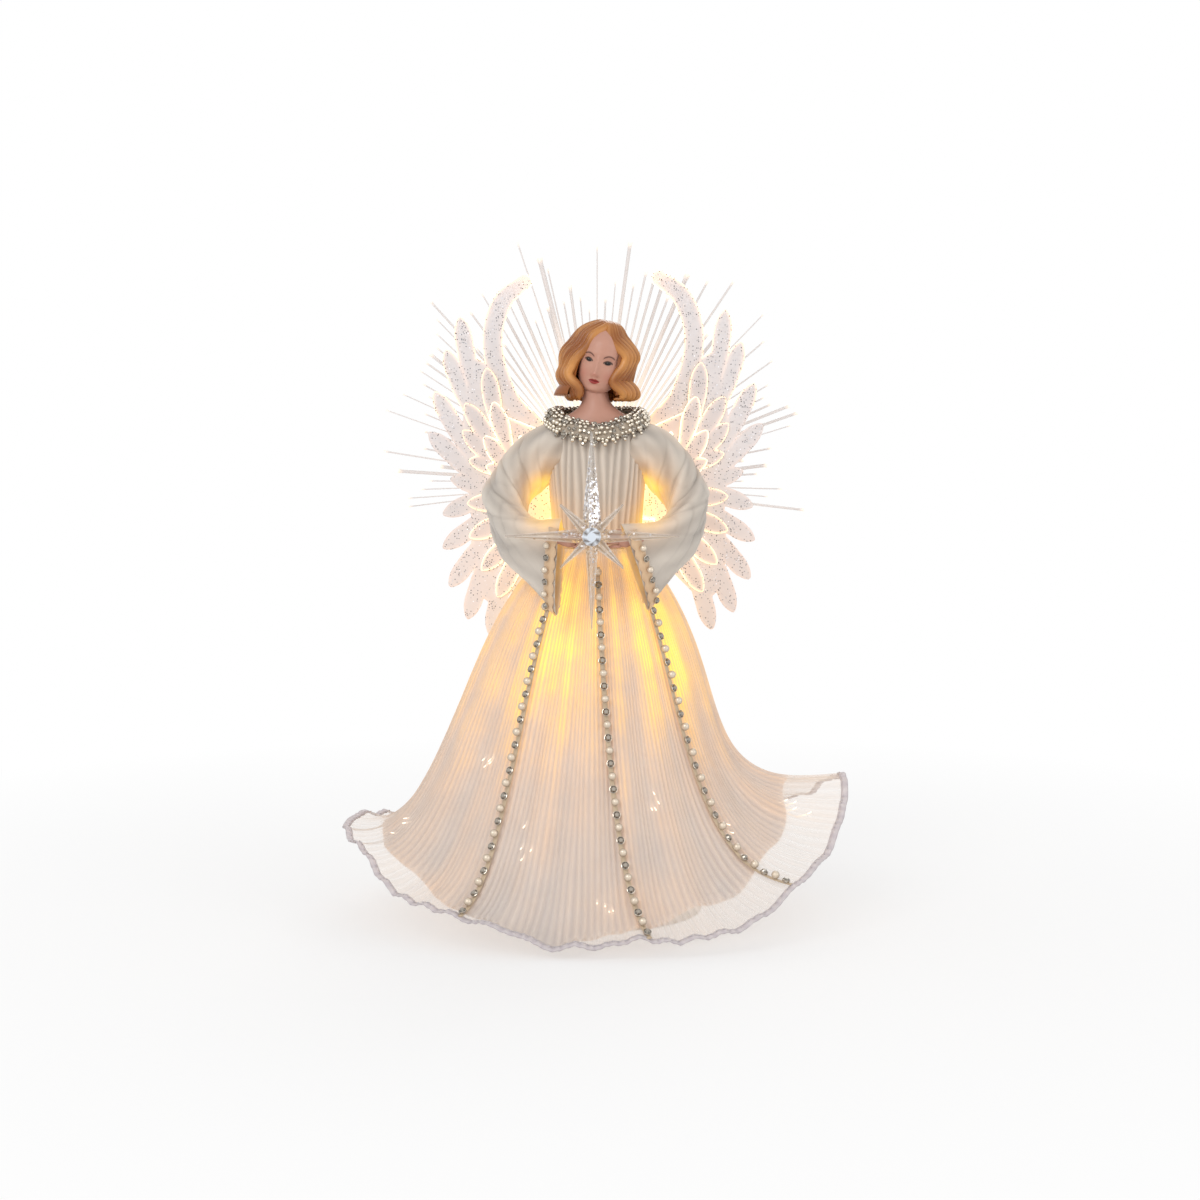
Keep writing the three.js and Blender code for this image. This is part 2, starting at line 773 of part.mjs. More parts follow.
/** The lead up the back of the cone, with a branch to each lamp socket. */
function makeLead(start) {
  const clear = coneWall + 2 * seatGap + leadRadius;
  const inside = (turn, height) => onCircle(coneRadiusAt(height) - clear - leadRadius, turn, height);
  const back = Math.PI / 2;
  const socketBack = coneRadiusAt(lampRingHeight) - coneWall - socketLength / 2 - 2 * seatGap;
  const junction = inside(back, mix(boxTopHeight, lampRingHeight, leadJunctionShare));
  const toJunction = (share) => mix(boxTopHeight, junction[2], share);
  const [x, y, z] = start;
  const straight = [[x, y, z], [x, y, toJunction(0)], [x, y, toJunction(0.27)]];
  const rise = wire([...straight, inside(back, toJunction(0.6)), junction], leadRadius, 5, 8);
  const branches = lampPlaceShares.map((place) => {
    const turn = (2 * Math.PI * place) / skirtFibreCount;
    const end = onCircle(socketBack - leadRadius, turn, lampRingHeight);
    const low = onCircle(socketBack - 2 * leadRadius, turn, mix(junction[2], lampRingHeight, 2 / 3));
    const between = onCircle(socketBack * 0.8, mix(back, turn, 0.5), mix(junction[2], lampRingHeight, 1 / 3));
    return wire([junction, between, low, end], leadRadius, 5, 6);
  });
  const high = inside(back, wingRootHeight - 2 * socketLength);
  const elbow = [0, coneTopRadius - 4 * leadRadius, wingRootHeight - 4 * leadRadius];
  const bend = [0, coneTopRadius - 2 * leadRadius, wingRootHeight];
  const lampBack = [0, bracketBack + bracketWall + seatGap + fibreHousingWall, wingRootHeight];
  const middle = inside(back, mix(junction[2], high[2], 0.5));
  const upper = wire([junction, middle, high, elbow, bend], leadRadius, 5, 8);
  const through = rod([0, bend[1] - leadRadius / 2, wingRootHeight], lampBack, leadRadius, 6);
  return joined([rise, upper, through, ...branches]);
}

// The doll

/** A flat oval ring at a height. */
function oval(halfWidth, halfDepth, height, sides, middle = [0, 0]) {
  return Array.from({ length: sides }, (_, i) => {
    const turn = (2 * Math.PI * i) / sides;
    const [x, y] = [halfWidth * Math.cos(turn), halfDepth * Math.sin(turn)];
    return new THREE.Vector3(middle[0] + x, middle[1] + y, height);
  });
}

/** How the head leans and turns on its neck. */
function headMatrix() {
  const foot = new THREE.Vector3(0, 0, chinHeight - neckRadius);
  const lean = new THREE.Matrix4().makeRotationY(THREE.MathUtils.degToRad(headTiltDeg));
  const turn = new THREE.Matrix4().makeRotationZ(THREE.MathUtils.degToRad(headTurnDeg));
  const back = new THREE.Matrix4().makeTranslation(foot.x, foot.y, foot.z);
  const out = new THREE.Matrix4().makeTranslation(-foot.x, -foot.y, -foot.z);
  return back.multiply(lean).multiply(turn).multiply(out);
}

function makeBust() {
  const spigot = coneTopRadius - coneWall - seatGap;
  const plateFoot = coneHeight + seatGap;
  const ring = ([wide, deep, rise], halfWidth, halfDepth) =>
    oval(wide * halfWidth, deep * halfDepth, mix(plateFoot, chinHeight, rise), bustSides);
  const neck = neckRingShares.map((row) => ring(row, neckRadius, neckRadius));
  neck.at(-1).forEach((point) => {
    point.x += neckRadius * neckLeanShare;
  });
  const plate = lofted([
    oval(spigot, spigot, plateFoot - bustSpigotDepth, bustSides),
    oval(spigot, spigot, plateFoot, bustSides),
    ...plateRingShares.map((row) => ring(row, plateHalfWidth, plateHalfDepth)),
    ...neck,
  ]);
  return plate.add(moved(joined([makeFace(), makeHair()]), headMatrix()));
}

/** The head without its hair: an egg that is narrow at the chin, with the nose as a soft ridge. */
function makeFace() {
  const height = crownHeight - chinHeight - hairCrownWall;
  const half = faceWidth / 2;
  const rings = faceRingShares.map(([rise, wide, deep, forward]) => {
    const middle = [0, -faceWidth * forward];
    const ring = oval(half * wide, half * deep, chinHeight + height * rise, headSides, middle);
    ring.forEach((point) => {
      const across = Math.max(0, 1 - Math.abs(point.x) / (faceWidth * noseWidthShare));
      const along = Math.max(0, 1 - Math.abs(rise - noseRiseShare) / noseSpanShare);
      if (point.y < 0) point.y -= noseLength * across * along;
    });
    return ring;
  });
  return lofted(rings);
}

/** The moulded hair: a waved shell that is open round the face and curls out at the jaw. */
function makeHair() {
  const back = hairDepth * hairBackShare;
  const tilt = Math.tan(THREE.MathUtils.degToRad(headTiltDeg));
  const rings = hairRingShares.map(([rise, size, curl]) => {
    const half = (mix(hairWidth, curlWidth, curl) * size) / 2;
    const height = mix(hairFootHeight, crownHeight, rise);
    return oval(half, (hairDepth * size) / 2, height, headSides, [0, back]).map((point, j) => {
      const turn = (2 * Math.PI * j) / headSides;
      const swell = hairWaveShare * Math.sin(hairWaveCount * turn + hairWaveTwist * rise);
      const ripple = hairRippleShare * Math.sin(hairRippleTwist * rise) * Math.abs(Math.cos(turn));
      const wave = 1 + swell + ripple;
      const level = point.x * tilt * (1 - rise);
      return new THREE.Vector3(point.x * wave, back + (point.y - back) * wave, point.z + level);
    });
  });
  const faceRoom = faceRoomShares.map(([wide, deep, rise]) => {
    const height = mix(chinHeight, crownHeight, rise);
    return oval(faceWidth * wide, faceWidth * deep, height, headSides, [0, -faceWidth]);
  });
  return lofted(rings).subtract(lofted(faceRoom));
}

/** One ring of the bodice: fluted, and slanted at the neckline by the share that it has risen. */
function bodiceRing(share, offset) {
  const wide = mix(waistRadius, chestHalfWidth, Math.min(1, share / chestWidthRiseShare));
  const deep = mix(waistRadius, chestHalfDepth, Math.min(1, share / chestDepthRiseShare));
  return Array.from({ length: bodiceColumns }, (_, i) => {
    const turn = (2 * Math.PI * i) / bodiceColumns;
    const flute = -fluteDepth * (0.5 - 0.5 * Math.cos(fluteCount * turn)) + offset;
    const slant = 0.5 - 0.5 * Math.sin(turn);
    const top = mix(neckBackHeight, neckFrontHeight, slant ** 3);
    const height = mix(waistHeight + seatGap, top, share);
    return new THREE.Vector3((wide + flute) * Math.cos(turn), (deep + flute) * Math.sin(turn), height);
  });
}

function makeBodice() {
  const outside = bodiceRowShares.map((share) => bodiceRing(share, 0));
  const inside = bodiceRowShares.map((share) => bodiceRing(share, -bodiceWall)).reverse();
  const boss = rod([0, 0, wingRootHeight], [0, bracketBack, wingRootHeight], bossRadius + seatGap, 16);
  return wrapped([...outside, ...inside]).subtract(armWire(wireRadius + seatGap)).subtract(boss);
}

/** The whole torso, grown by a gap, to cut what lies against it. */
function torsoRoom(gap) {
  const over = [...bodiceRowShares, 1].map((share, i) => {
    const ring = bodiceRing(share, gap);
    if (i < bodiceRowShares.length) return ring;
    return ring.map((point) => new THREE.Vector3(point.x, point.y, point.z + chestHalfDepth));
  });
  return lofted(over);
}

/** The sections of a sleeve: place, half height and half width. */
function sleeveSections() {
  const arm = upperArmThickness / 2;
  const sections = sleeveSectionShares.map((row) => [alongArm(row), arm * row[3], arm * row[4]]);
  return [...sections, [[cuffReach, -cuffForward, cuffHeight], cuffDepth / 2, cuffThickness / 2]];
}

/** A ring of a sleeve, square to the arm and tilted forward at the cuff. */
function sleeveRing(i, shrink) {
  const sections = sleeveSections();
  const [place, tall, wide] = sections[i];
  const before = new THREE.Vector3(...sections[Math.max(0, i - 1)][0]);
  const after = new THREE.Vector3(...sections[Math.min(sections.length - 1, i + 1)][0]);
  const along = after.sub(before).normalize();
  const up = new THREE.Vector3(0, 0, 1);
  const side = new THREE.Vector3().crossVectors(along, up).normalize();
  const rise = new THREE.Vector3().crossVectors(side, along).normalize();
  const tiltShare = (i - tiltFirstSection) / (sections.length - 1 - tiltFirstSection);
  const lean = THREE.MathUtils.degToRad(cuffTiltDeg) * Math.max(0, tiltShare);
  return Array.from({ length: sleeveSides }, (_, j) => {
    const turn = (2 * Math.PI * j) / sleeveSides;
    const point = new THREE.Vector3(...place);
    const drop = (tall - shrink) * Math.sin(turn);
    point.addScaledVector(rise, drop * Math.cos(lean));
    point.addScaledVector(along, -drop * Math.sin(lean));
    point.addScaledVector(side, (wide - shrink) * Math.cos(turn));
    return point;
  });
}

function makeSleeve() {
  const order = sleeveSections().map((_, i) => i);
  const outside = order.map((i) => sleeveRing(i, 0));
  const inside = order.map((i) => sleeveRing(i, sleeveWall)).reverse();
  return wrapped([...outside, ...inside]).subtract(torsoRoom(seatGap));
}

/** A hand, bored for the wire and hollowed where it holds the star. */
function makeHand(side) {
  const lumps = handLumpShares.map(([place, half]) => {
    const ball = new THREE.SphereGeometry(1, 7, 5);
    ball.scale(half[0] * handLength, half[1] * handThickness, half[2] * handWidth);
    const reach = handReach + place[0] * handLength;
    const forward = handForward + place[1] * handThickness;
    return solid(ball.translate(side * reach, -forward, handHeight + place[2] * handWidth));
  });
  return joined(lumps).subtract(armWire(wireRadius + seatGap)).subtract(makeStarBody(seatGap));
}

// The star

/** The star's points: long ones in its own plane, and short ones that lean forward and back. */
function makeStarBody(gap) {
  const middle = [starSide, -starForward, starHeight];
  const point = (x, y, z, length, radius) => {
    const tip = [middle[0] + x * length, middle[1] + y * length, middle[2] + z * length];
    return rod(middle, tip, radius + gap, 4, radius / 10 + gap);
  };
  const long = [
    point(0, 0, 1, starUpLength, starUpRadius),
    point(0, 0, -1, starDownLength, starDownRadius),
    point(1, 0, 0, starSideLength, starSideRadius),
    point(-1, 0, 0, starSideLength, starSideRadius),
  ];
  const lean = THREE.MathUtils.degToRad(starShortTiltDeg);
  const flat = Math.cos(lean) * Math.SQRT1_2;
  const short = [-1, 1].flatMap((layer) =>
    [[1, 1], [1, -1], [-1, 1], [-1, -1]].map(([x, z]) =>
      point(x * flat, layer * Math.sin(lean), z * flat, starShortLength, starShortRadius),
    ),
  );
  const [x, y, z] = middle;
  const core = rod([x, y - starCoreRadius, z], [x, y + starCoreRadius, z], starCoreRadius + gap, 8);
  return joined([core, ...long, ...short]);
}

function makeGem() {
  const back = starForward + starCoreRadius + seatGap;
  const edge = gemProfileShares.map(([wide, deep]) => [gemRadius * wide, gemDepth * deep]);
  const profile = [[0, 0], ...edge, [0, gemDepth]];
  const matrix = new THREE.Matrix4().makeRotationX(Math.PI / 2);
  matrix.premultiply(new THREE.Matrix4().makeTranslation(starSide, -back, starHeight));
  return moved(turned(profile, 10), matrix);
}

// Strings of beads

/** Places along a line of many points where the beads sit, and where the cord is bare between them. */
function stringPlaces(line, closed) {
  const lengths = line.map((place, i) => (i ? place.point.distanceTo(line[i - 1].point) : 0));
  const total = lengths.reduce((sum, length) => sum + length, 0);
  const count = Math.round(total / beadPitch);
  const pitch = total / count;
  const stops = Array.from({ length: count }, (_, i) => i).flatMap((i) => [
    { distance: i * pitch, radius: cordRadius },
    { distance: (i + 0.5) * pitch - beadRadius * 0.4, radius: beadRadius },
    { distance: (i + 0.5) * pitch + beadRadius * 0.4, radius: beadRadius },
  ]);
  if (!closed) stops.push({ distance: total, radius: cordRadius });
  let i = 0;
  let travelled = 0;
  return stops.map(({ distance, radius }) => {
    while (i < line.length - 1 && travelled < distance) {
      i += 1;
      travelled += lengths[i];
    }
    return { ...line[i], radius };
  });
}

/** Beads on a cord, laid on a surface: each place has a point, its normal and the way that the cord runs. */
function beadString(line, closed) {
  const rings = stringPlaces(line, closed).map(({ point, normal, along, radius }) => {
    const across = new THREE.Vector3().crossVectors(along, normal).normalize();
    const out = new THREE.Vector3().crossVectors(across, along).normalize();
    const middle = point.clone().addScaledVector(out, 2 * seatGap + radius * (radius > cordRadius ? 1 : 1.5));
    return Array.from({ length: beadSides }, (_, j) => {
      const turn = (2 * Math.PI * (j + 0.5)) / beadSides;
      const place = middle.clone().addScaledVector(across, radius * Math.sin(turn));
      return place.addScaledVector(out, -radius * Math.cos(turn));
    });
  });
  return closed ? wrapped(rings) : lofted(rings);
}

/** A line of places with the way that each one runs. */
function withDirections(places, closed) {
  const last = places.length - 1;
  return places.map((place, i) => {
    const before = places[i ? i - 1 : closed ? last : 0].point;
    const after = places[i < last ? i + 1 : closed ? 0 : last].point;
    return { ...place, along: after.clone().sub(before).normalize() };
  });
}

/** A strip down the skirt between two turns. */
function makeTrimStrip(topShare, topDegrees, hemDegrees) {
  const places = Array.from({ length: sampleCount }, (_, i) => {
    const share = mix(topShare, trimFootShare, i / (sampleCount - 1));
    const column = (mix(topDegrees, hemDegrees, share) * skirtColumns) / 360;
    const point = skirtFacetPoint(column, share, 0);
    return { point, normal: skirtFacetPoint(column, share, beadRadius).sub(point) };
  });
  return beadString(withDirections(places, false), false);
}

/** The strip round the outside of the cuff, close to its edge. */
function makeCuffTrim() {
  const last = sleeveSections().length - 1;
  const ring = (out) => {
    const edge = sleeveRing(last, -out);
    return sleeveRing(last - 1, -out).map((point, j) => point.lerp(edge[j], cuffTrimShare));
  };
  const foot = ring(cuffTrimLift);
  const top = ring(cuffTrimLift + beadRadius);
  const stepCount = sampleCount / sleeveSides;
  const places = foot.flatMap((point, j) => {
    const next = (j + 1) % foot.length;
    return Array.from({ length: stepCount }, (_, k) => {
      const place = point.clone().lerp(foot[next], k / stepCount);
      return { point: place, normal: top[j].clone().lerp(top[next], k / stepCount).sub(place) };
    });
  });
  return beadString(withDirections(places, true), true);
}

/** A pearl or, at every odd number, a cut stone, with one corner set in its ribbon. */
function bead(place, normal, radius, number) {
  const stone = number % 2 === 1;
  const form = stone ? new THREE.OctahedronGeometry(radius, 0) : new THREE.IcosahedronGeometry(radius, 0);
  const corner = new THREE.Vector3().fromBufferAttribute(form.getAttribute("position"), 0).normalize();
  const turn = new THREE.Quaternion().setFromUnitVectors(corner, normal.clone().normalize());
  return solid(form.applyQuaternion(turn).translate(place.x, place.y, place.z));
}

/** The collar: two rows of beads on a ribbon that follows the slanted neckline. */
function makeCollar() {
  const rise = seatGap + ribbonWall + collarBeadRadius - beadSink;
  const low = -rise + seatGap;
  const ringAt = (wide, deep, count, lift) =>
    Array.from({ length: count }, (_, i) => {
      const turn = (2 * Math.PI * i) / count;
      const slant = 0.5 - 0.5 * Math.sin(turn);
      const top = mix(neckBackHeight, neckFrontHeight, slant ** 3);
      return new THREE.Vector3(wide * Math.cos(turn), deep * Math.sin(turn), top + rise + lift);
    });
  const step = 2 * collarBeadRadius;
  const rows = Array.from({ length: collarRowCount }, (_, i) => i);
  const size = (i) => [collarHalfWidth + step * i, collarHalfDepth + step * i];
  const up = new THREE.Vector3(0, 0, 1);
  const beads = rows.flatMap((i) =>
    ringAt(...size(i), collarBeadCount, 0).map((place) => bead(place, up, collarBeadRadius, i)),
  );
  const [innerWide, innerDeep] = size(0);
  const [outerWide, outerDeep] = size(collarRowCount - 1);
  const ribbon = wrapped([
    ringAt(innerWide, innerDeep, collarBeadCount, low),
    ringAt(outerWide, outerDeep, collarBeadCount, low),
    ringAt(outerWide, outerDeep, collarBeadCount, low + ribbonWall),
    ringAt(innerWide, innerDeep, collarBeadCount, low + ribbonWall),
  ]);
  return joined([ribbon, ...beads]);
}

// The wings

// Each feather: its tip as a share of the wing's reach and of its height over the root, and the way it points
const outerFeatherShares = [
  [0.77, 0.836, 83],
  [0.868, 0.682, 71],
  [0.95, 0.482, 63],
  [1, 0.286, 46],
  [0.885, 0.055, 16],
  [0.945, -0.12, -20],
  [0.956, -0.286, -32],
  [0.929, -0.477, -50],
  [0.83, -0.64, -69],
  [0.698, -0.724, -74],
];
const middleFeatherShares = [
  [0.624, 0.583, 83],
  [0.767, 0.418, 58],
  [0.79, 0.287, 45],
  [0.765, 0.14, 15],
  [0.79, -0.07, 0],
  [0.79, -0.236, -22],
  [0.725, -0.4, -42],
  [0.637, -0.536, -60],
];
const innerFeatherShares = [
  [0.593, 0.418, 75],
  [0.66, 0.255, 55],
  [0.66, 0.11, 25],
  [0.637, -0.064, 0],
  [0.615, -0.218, -30],
  [0.527, -0.355, -55],
];
// The undivided part of each sheet, as the same shares
const outerPalmShares = [
  [0.12, -0.15], [0.12, 0.15], [0.3, 0.3], [0.62, 0.6], [0.72, 0.65], [0.77, 0.47], [0.79, 0.3],
  [0.79, 0.11], [0.78, -0.01], [0.77, -0.14], [0.78, -0.27], [0.77, -0.38], [0.75, -0.52],
  [0.68, -0.57], [0.57, -0.53], [0.3, -0.3],
];
const middlePalmShares = [
  [0.12, -0.15], [0.12, 0.15], [0.35, 0.28], [0.57, 0.36], [0.6, 0.2],
  [0.62, 0.05], [0.58, -0.1], [0.58, -0.22], [0.5, -0.33], [0.3, -0.25],
];
const innerPalmShares = [
  [0.12, -0.15], [0.12, 0.15], [0.3, 0.2], [0.45, 0.25],
  [0.48, 0.1], [0.47, -0.05], [0.42, -0.18], [0.3, -0.18],
];
// The curved arch over the wing: its middle line, as the same shares, from its tip to the root
const archShares = [
  [0.374, 0.982], [0.495, 0.909], [0.566, 0.79], [0.582, 0.664],
  [0.549, 0.527], [0.462, 0.364], [0.308, 0.19], [0.154, 0.055],
];
const outerFeatherLengthShare = 0.5;
const middleFeatherLengthShare = 0.4;
const innerFeatherLengthShare = 0.33;

/** A place on a wing's sheet from its shares. */
function onWing([reach, rise]) {
  return new THREE.Vector2(reach * wingReach, wingRootHeight + rise * wingHeight);
}

/** A flat outline cut from the sheet of one layer. */
function cutSheet(outline, layer, curveSegments) {
  const front = seatGap + layer * (wingSheet + seatGap);
  const geometry = new THREE.ExtrudeGeometry(outline, { depth: wingSheet, bevelEnabled: false, curveSegments });
  return solid(geometry.rotateX(Math.PI / 2).translate(0, front + wingSheet, 0));
}

function featherOutline([reach, rise, degrees], lengthShare) {
  const tip = onWing([reach, rise]);
  const turn = THREE.MathUtils.degToRad(degrees);
  const along = new THREE.Vector2(Math.cos(turn), Math.sin(turn)).multiplyScalar(lengthShare * wingReach);
  const across = new THREE.Vector2(-Math.sin(turn), Math.cos(turn)).multiplyScalar(featherWidth);
  const at = (back, out) => tip.clone().addScaledVector(along, -back).addScaledVector(across, out);
  const edge = (side) => featherEdgeShares.map(([back, out]) => at(back, side * out));
  const [start, bulge, shoulder] = edge(-1);
  const [end, farBulge, farShoulder] = edge(1);
  const shape = new THREE.Shape();
  shape.moveTo(start.x, start.y);
  shape.bezierCurveTo(bulge.x, bulge.y, shoulder.x, shoulder.y, tip.x, tip.y);
  shape.bezierCurveTo(farShoulder.x, farShoulder.y, farBulge.x, farBulge.y, end.x, end.y);
  shape.closePath();
  return shape;
}

function palmOutline(shares) {
  return new THREE.Shape(shares.map(onWing));
}

function archOutline() {
  const curve = new THREE.SplineCurve(archShares.map(onWing));
  const sides = [1, -1].map((side) =>
    Array.from({ length: archSteps + 1 }, (_, i) => {
      const point = curve.getPoint(i / archSteps);
      const along = curve.getTangent(i / archSteps);
      return point.add(new THREE.Vector2(-along.y, along.x).multiplyScalar((side * archWidth) / 2));
    }),
  );
  return new THREE.Shape([...sides[0], ...sides[1].reverse()]);
}

/** The middles of the rivets, on the wing's sheet. */
function rivetPlaces() {
  return [-1, 1].map((side) => [(bracketHalfWidth + earReach) / 2, wingRootHeight + (side * rivetSpacing) / 2]);
}

/** The holes of the rivets through everything at the wing's root. */
function rivetHoles() {
  const radius = rivetRadius + seatGap;
  return joined(rivetPlaces().map(([x, z]) => rod([x, -cutOverrun, z], [x, 2 * cutOverrun, z], radius, 8)));
}

function makeLayer(feathers, lengthShare, palm, layer, extra = []) {
  const tips = feathers.map((feather) => featherOutline(feather, lengthShare));
  const cuts = [...tips, palmOutline(palm), ...extra];
  const curveSegments = layer > 1 ? 4 : 3;
  return joined(cuts.map((outline) => cutSheet(outline, layer, curveSegments))).subtract(rivetHoles());
}

/** From the right wing's own frame to its place on the bracket. */
function wingMatrix() {
  const sweep = new THREE.Matrix4().makeRotationZ(THREE.MathUtils.degToRad(wingSweepDeg));
  return sweep.premultiply(new THREE.Matrix4().makeTranslation(0, bracketBack + bracketWall, 0));
}

function makeWings() {
  const matrix = wingMatrix();
  const layers = {
    inner: makeLayer(innerFeatherShares, innerFeatherLengthShare, innerPalmShares, 0),
    middle: makeLayer(middleFeatherShares, middleFeatherLengthShare, middlePalmShares, 1),
    outer: makeLayer(outerFeatherShares, outerFeatherLengthShare, outerPalmShares, 2, [archOutline()]),
  };
  const made = {};
  Object.entries(layers).forEach(([name, sheet]) => {
    const right = moved(sheet, matrix);
    made[`right_wing_${name}`] = right;
    made[`left_wing_${name}`] = mirrored(right);
  });
  const back = 3 * (wingSheet + seatGap) + seatGap;
  rivetPlaces().forEach(([x, z], i) => {
    const front = -bracketWall - seatGap;
    const shank = rod([x, front, z], [x, back, z], rivetRadius, 6);
    const heads = [
      rod([x, front - rivetHeadHeight, z], [x, front, z], rivetHeadRadius, 6),
      rod([x, back, z], [x, back + rivetHeadHeight, z], rivetHeadRadius, 6),
    ];
    const right = moved(joined([shank, ...heads]), matrix);
    made[`right_wing_rivet_${i + 1}`] = right;
    made[`left_wing_rivet_${i + 1}`] = mirrored(right);
  });
  return made;
}

/** The bracket: a hollow boss into the cone, a plate, and an ear bent back for each wing. */
function makeBracket() {
  const low = wingRootHeight - bracketHalfHeight;
  const high = wingRootHeight + bracketHalfHeight;
  const back = bracketBack + bracketWall;
  const plate = block([-bracketHalfWidth, bracketBack, low], [bracketHalfWidth, back, high]);
  const earFoot = bracketHalfWidth - 2 * bracketWall;
  const flat = block([earFoot, -bracketWall, low], [earReach, 0, high]).subtract(rivetHoles());
  const ear = moved(flat, wingMatrix());
  const wall = coneRadiusAt(wingRootHeight - bossRadius);
  const at = (y) => [0, y, wingRootHeight];
  const boss = rod(at(wall + seatGap), at(bracketBack + bracketWall / 2), bossRadius, 12);
  const spigot = rod(at(wall - 2 * coneWall), at(bracketBack), bossRadius - coneWall, 12);
  const bore = rod(at(0), at(bracketBack + cutOverrun), leadRadius + 2 * seatGap, 8);
  return joined([plate, ear, mirrored(ear), boss, spigot]).subtract(bore);
}

// The fibres

function makeFibreLamp() {
  const back = bracketBack + bracketWall + seatGap;
  const mouth = back + fibreHousingLength;
  const at = (y) => [0, y, wingRootHeight];
  const housing = rod(at(back), at(mouth), fibreHousingRadius, 20);
  const inner = fibreHousingRadius - fibreHousingWall;
  const room = rod(at(back + fibreHousingWall), at(mouth + cutOverrun), inner, 20);
  const hole = rod(at(back - cutOverrun), at(mouth), leadRadius + 2 * seatGap, 12);
  const lampFoot = back + fibreHousingWall + 2 * seatGap;
  const lamp = rod(at(lampFoot), at(mouth - fibreDiscDepth / 2), lampRadius, 10);
  return { fibre_lamp_housing: housing.subtract(room).subtract(hole), fibre_lamp: lamp };
}

/** The strands that fan out in two rows from a potted disc in the housing's mouth. */
function makeFibreSpray() {
  const mouth = bracketBack + bracketWall + fibreHousingLength + 2 * seatGap;
  const back = mouth + fibreDiscDepth;
  const at = (y) => [0, y, wingRootHeight];
  const inner = fibreHousingRadius - fibreHousingWall - seatGap;
  const plug = rod(at(mouth - fibreDiscDepth / 3), at(back), inner, 12);
  const disc = rod(at(mouth), at(back), fibreDiscRadius, 24);
  const strands = Array.from({ length: fibreCount }, (_, i) => {
    const spread = THREE.MathUtils.degToRad(fibreSpreadDeg);
    const turn = Math.PI / 2 + spread * (i / (fibreCount - 1) - 0.5);
    const row = i % 2;
    const sweep = THREE.MathUtils.degToRad(fibreSweepDeg * (1 + 0.5 * row));
    const whole = mix(fibreSideLength, fibreLength, Math.max(0, Math.sin(turn)));
    const length = whole * mix(fibreShortShare, 1, 0.5 + 0.5 * Math.cos(i * i));
    const out = [Math.cos(turn) * Math.cos(sweep), Math.sin(sweep), Math.sin(turn) * Math.cos(sweep)];
    const start = fibreDiscRadius - 2 * fibreRadius;
    const from = (distance) => [
      out[0] * distance,
      back - 2 * fibreRadius + out[1] * (distance - start),
      wingRootHeight + out[2] * distance,
    ];
    return rod(from(start), from(length), fibreRadius, 3);
  });
  return joined([plug, disc, ...strands]);
}

/** Strands that hang from a ring round the cone to light the skirt from inside. */
function makeSkirtFibres() {
  const low = skirtFibreRingHeight;
  const high = low + skirtFibreRingDepth;
  const ringSides = coneSides / 2;
  const inner = (height) => (coneRadiusAt(height) + seatGap) / Math.cos(Math.PI / ringSides);
  const ring = turned(
    [
      [inner(low), low],
      [inner(low) + skirtFibreRingWall, low],
      [inner(low) + skirtFibreRingWall, high],
      [inner(low), high],
      [inner(low), low],
    ],
    ringSides,
  );
  const drop = skirtColumns / skirtFibreCount;
  const strands = Array.from({ length: skirtFibreCount }, (_, i) => {
    const turn = (2 * Math.PI * i) / skirtFibreCount;
    const start = onCircle(inner(low) + skirtFibreRingWall / 2, turn, low + skirtFibreRingDepth / 2);
    const share = skirtFibreReachShares[i % skirtFibreReachShares.length];
    const end = skirtPoint(drop * i, share, -clothGap - organzaWall - liningWall - 6 * fibreRadius);
    return rod(start, [end.x, end.y, end.z], fibreRadius, 3);
  });
  return joined([ring, ...strands]);
}

// Finishes: colour, roughness and metalness
const finishes = {
  whitePlastic: [0xf1eee4, 0.45, 0],
  clearPlastic: [0xf4f6f8, 0.12, 0],
  organza: [0xefe9dd, 0.7, 0],
  lining: [0xf5ecdb, 0.6, 0],
  hem: [0xc9c2c6, 0.7, 0],
  crepe: [0xd9d4c8, 0.75, 0],
  resin: [0xc99478, 0.45, 0],
  pearl: [0xe6dcc6, 0.25, 0.1],
  silver: [0xb9b3a4, 0.3, 0.8],
  glitterSheet: [0xf0ece6, 0.5, 0],
  steel: [0x9a9ca0, 0.4, 0.9],
  lamp: [0xffcf6a, 0.2, 0],
  copperLead: [0xe9e4d4, 0.5, 0],
  board: [0x3f6b45, 0.6, 0],
  cell: [0x8d9299, 0.4, 0.5],
};

const topper = new THREE.Group();

/** Adds one piece with its own material. */
function addPiece(name, made, finish) {
  const [color, roughness, metalness] = finishes[finish];
  const material = new THREE.MeshStandardMaterial({ color, roughness, metalness });
  const mesh = new THREE.Mesh(geometryOf(made), material);
  mesh.name = name;
  topper.add(mesh);
}

/** Adds every piece of a list, all in one finish unless the name is given its own. */
function addPieces(pieces, finish, own = {}) {
  Object.entries(pieces).forEach(([name, made]) => addPiece(name, made, own[name] ?? finish));
}

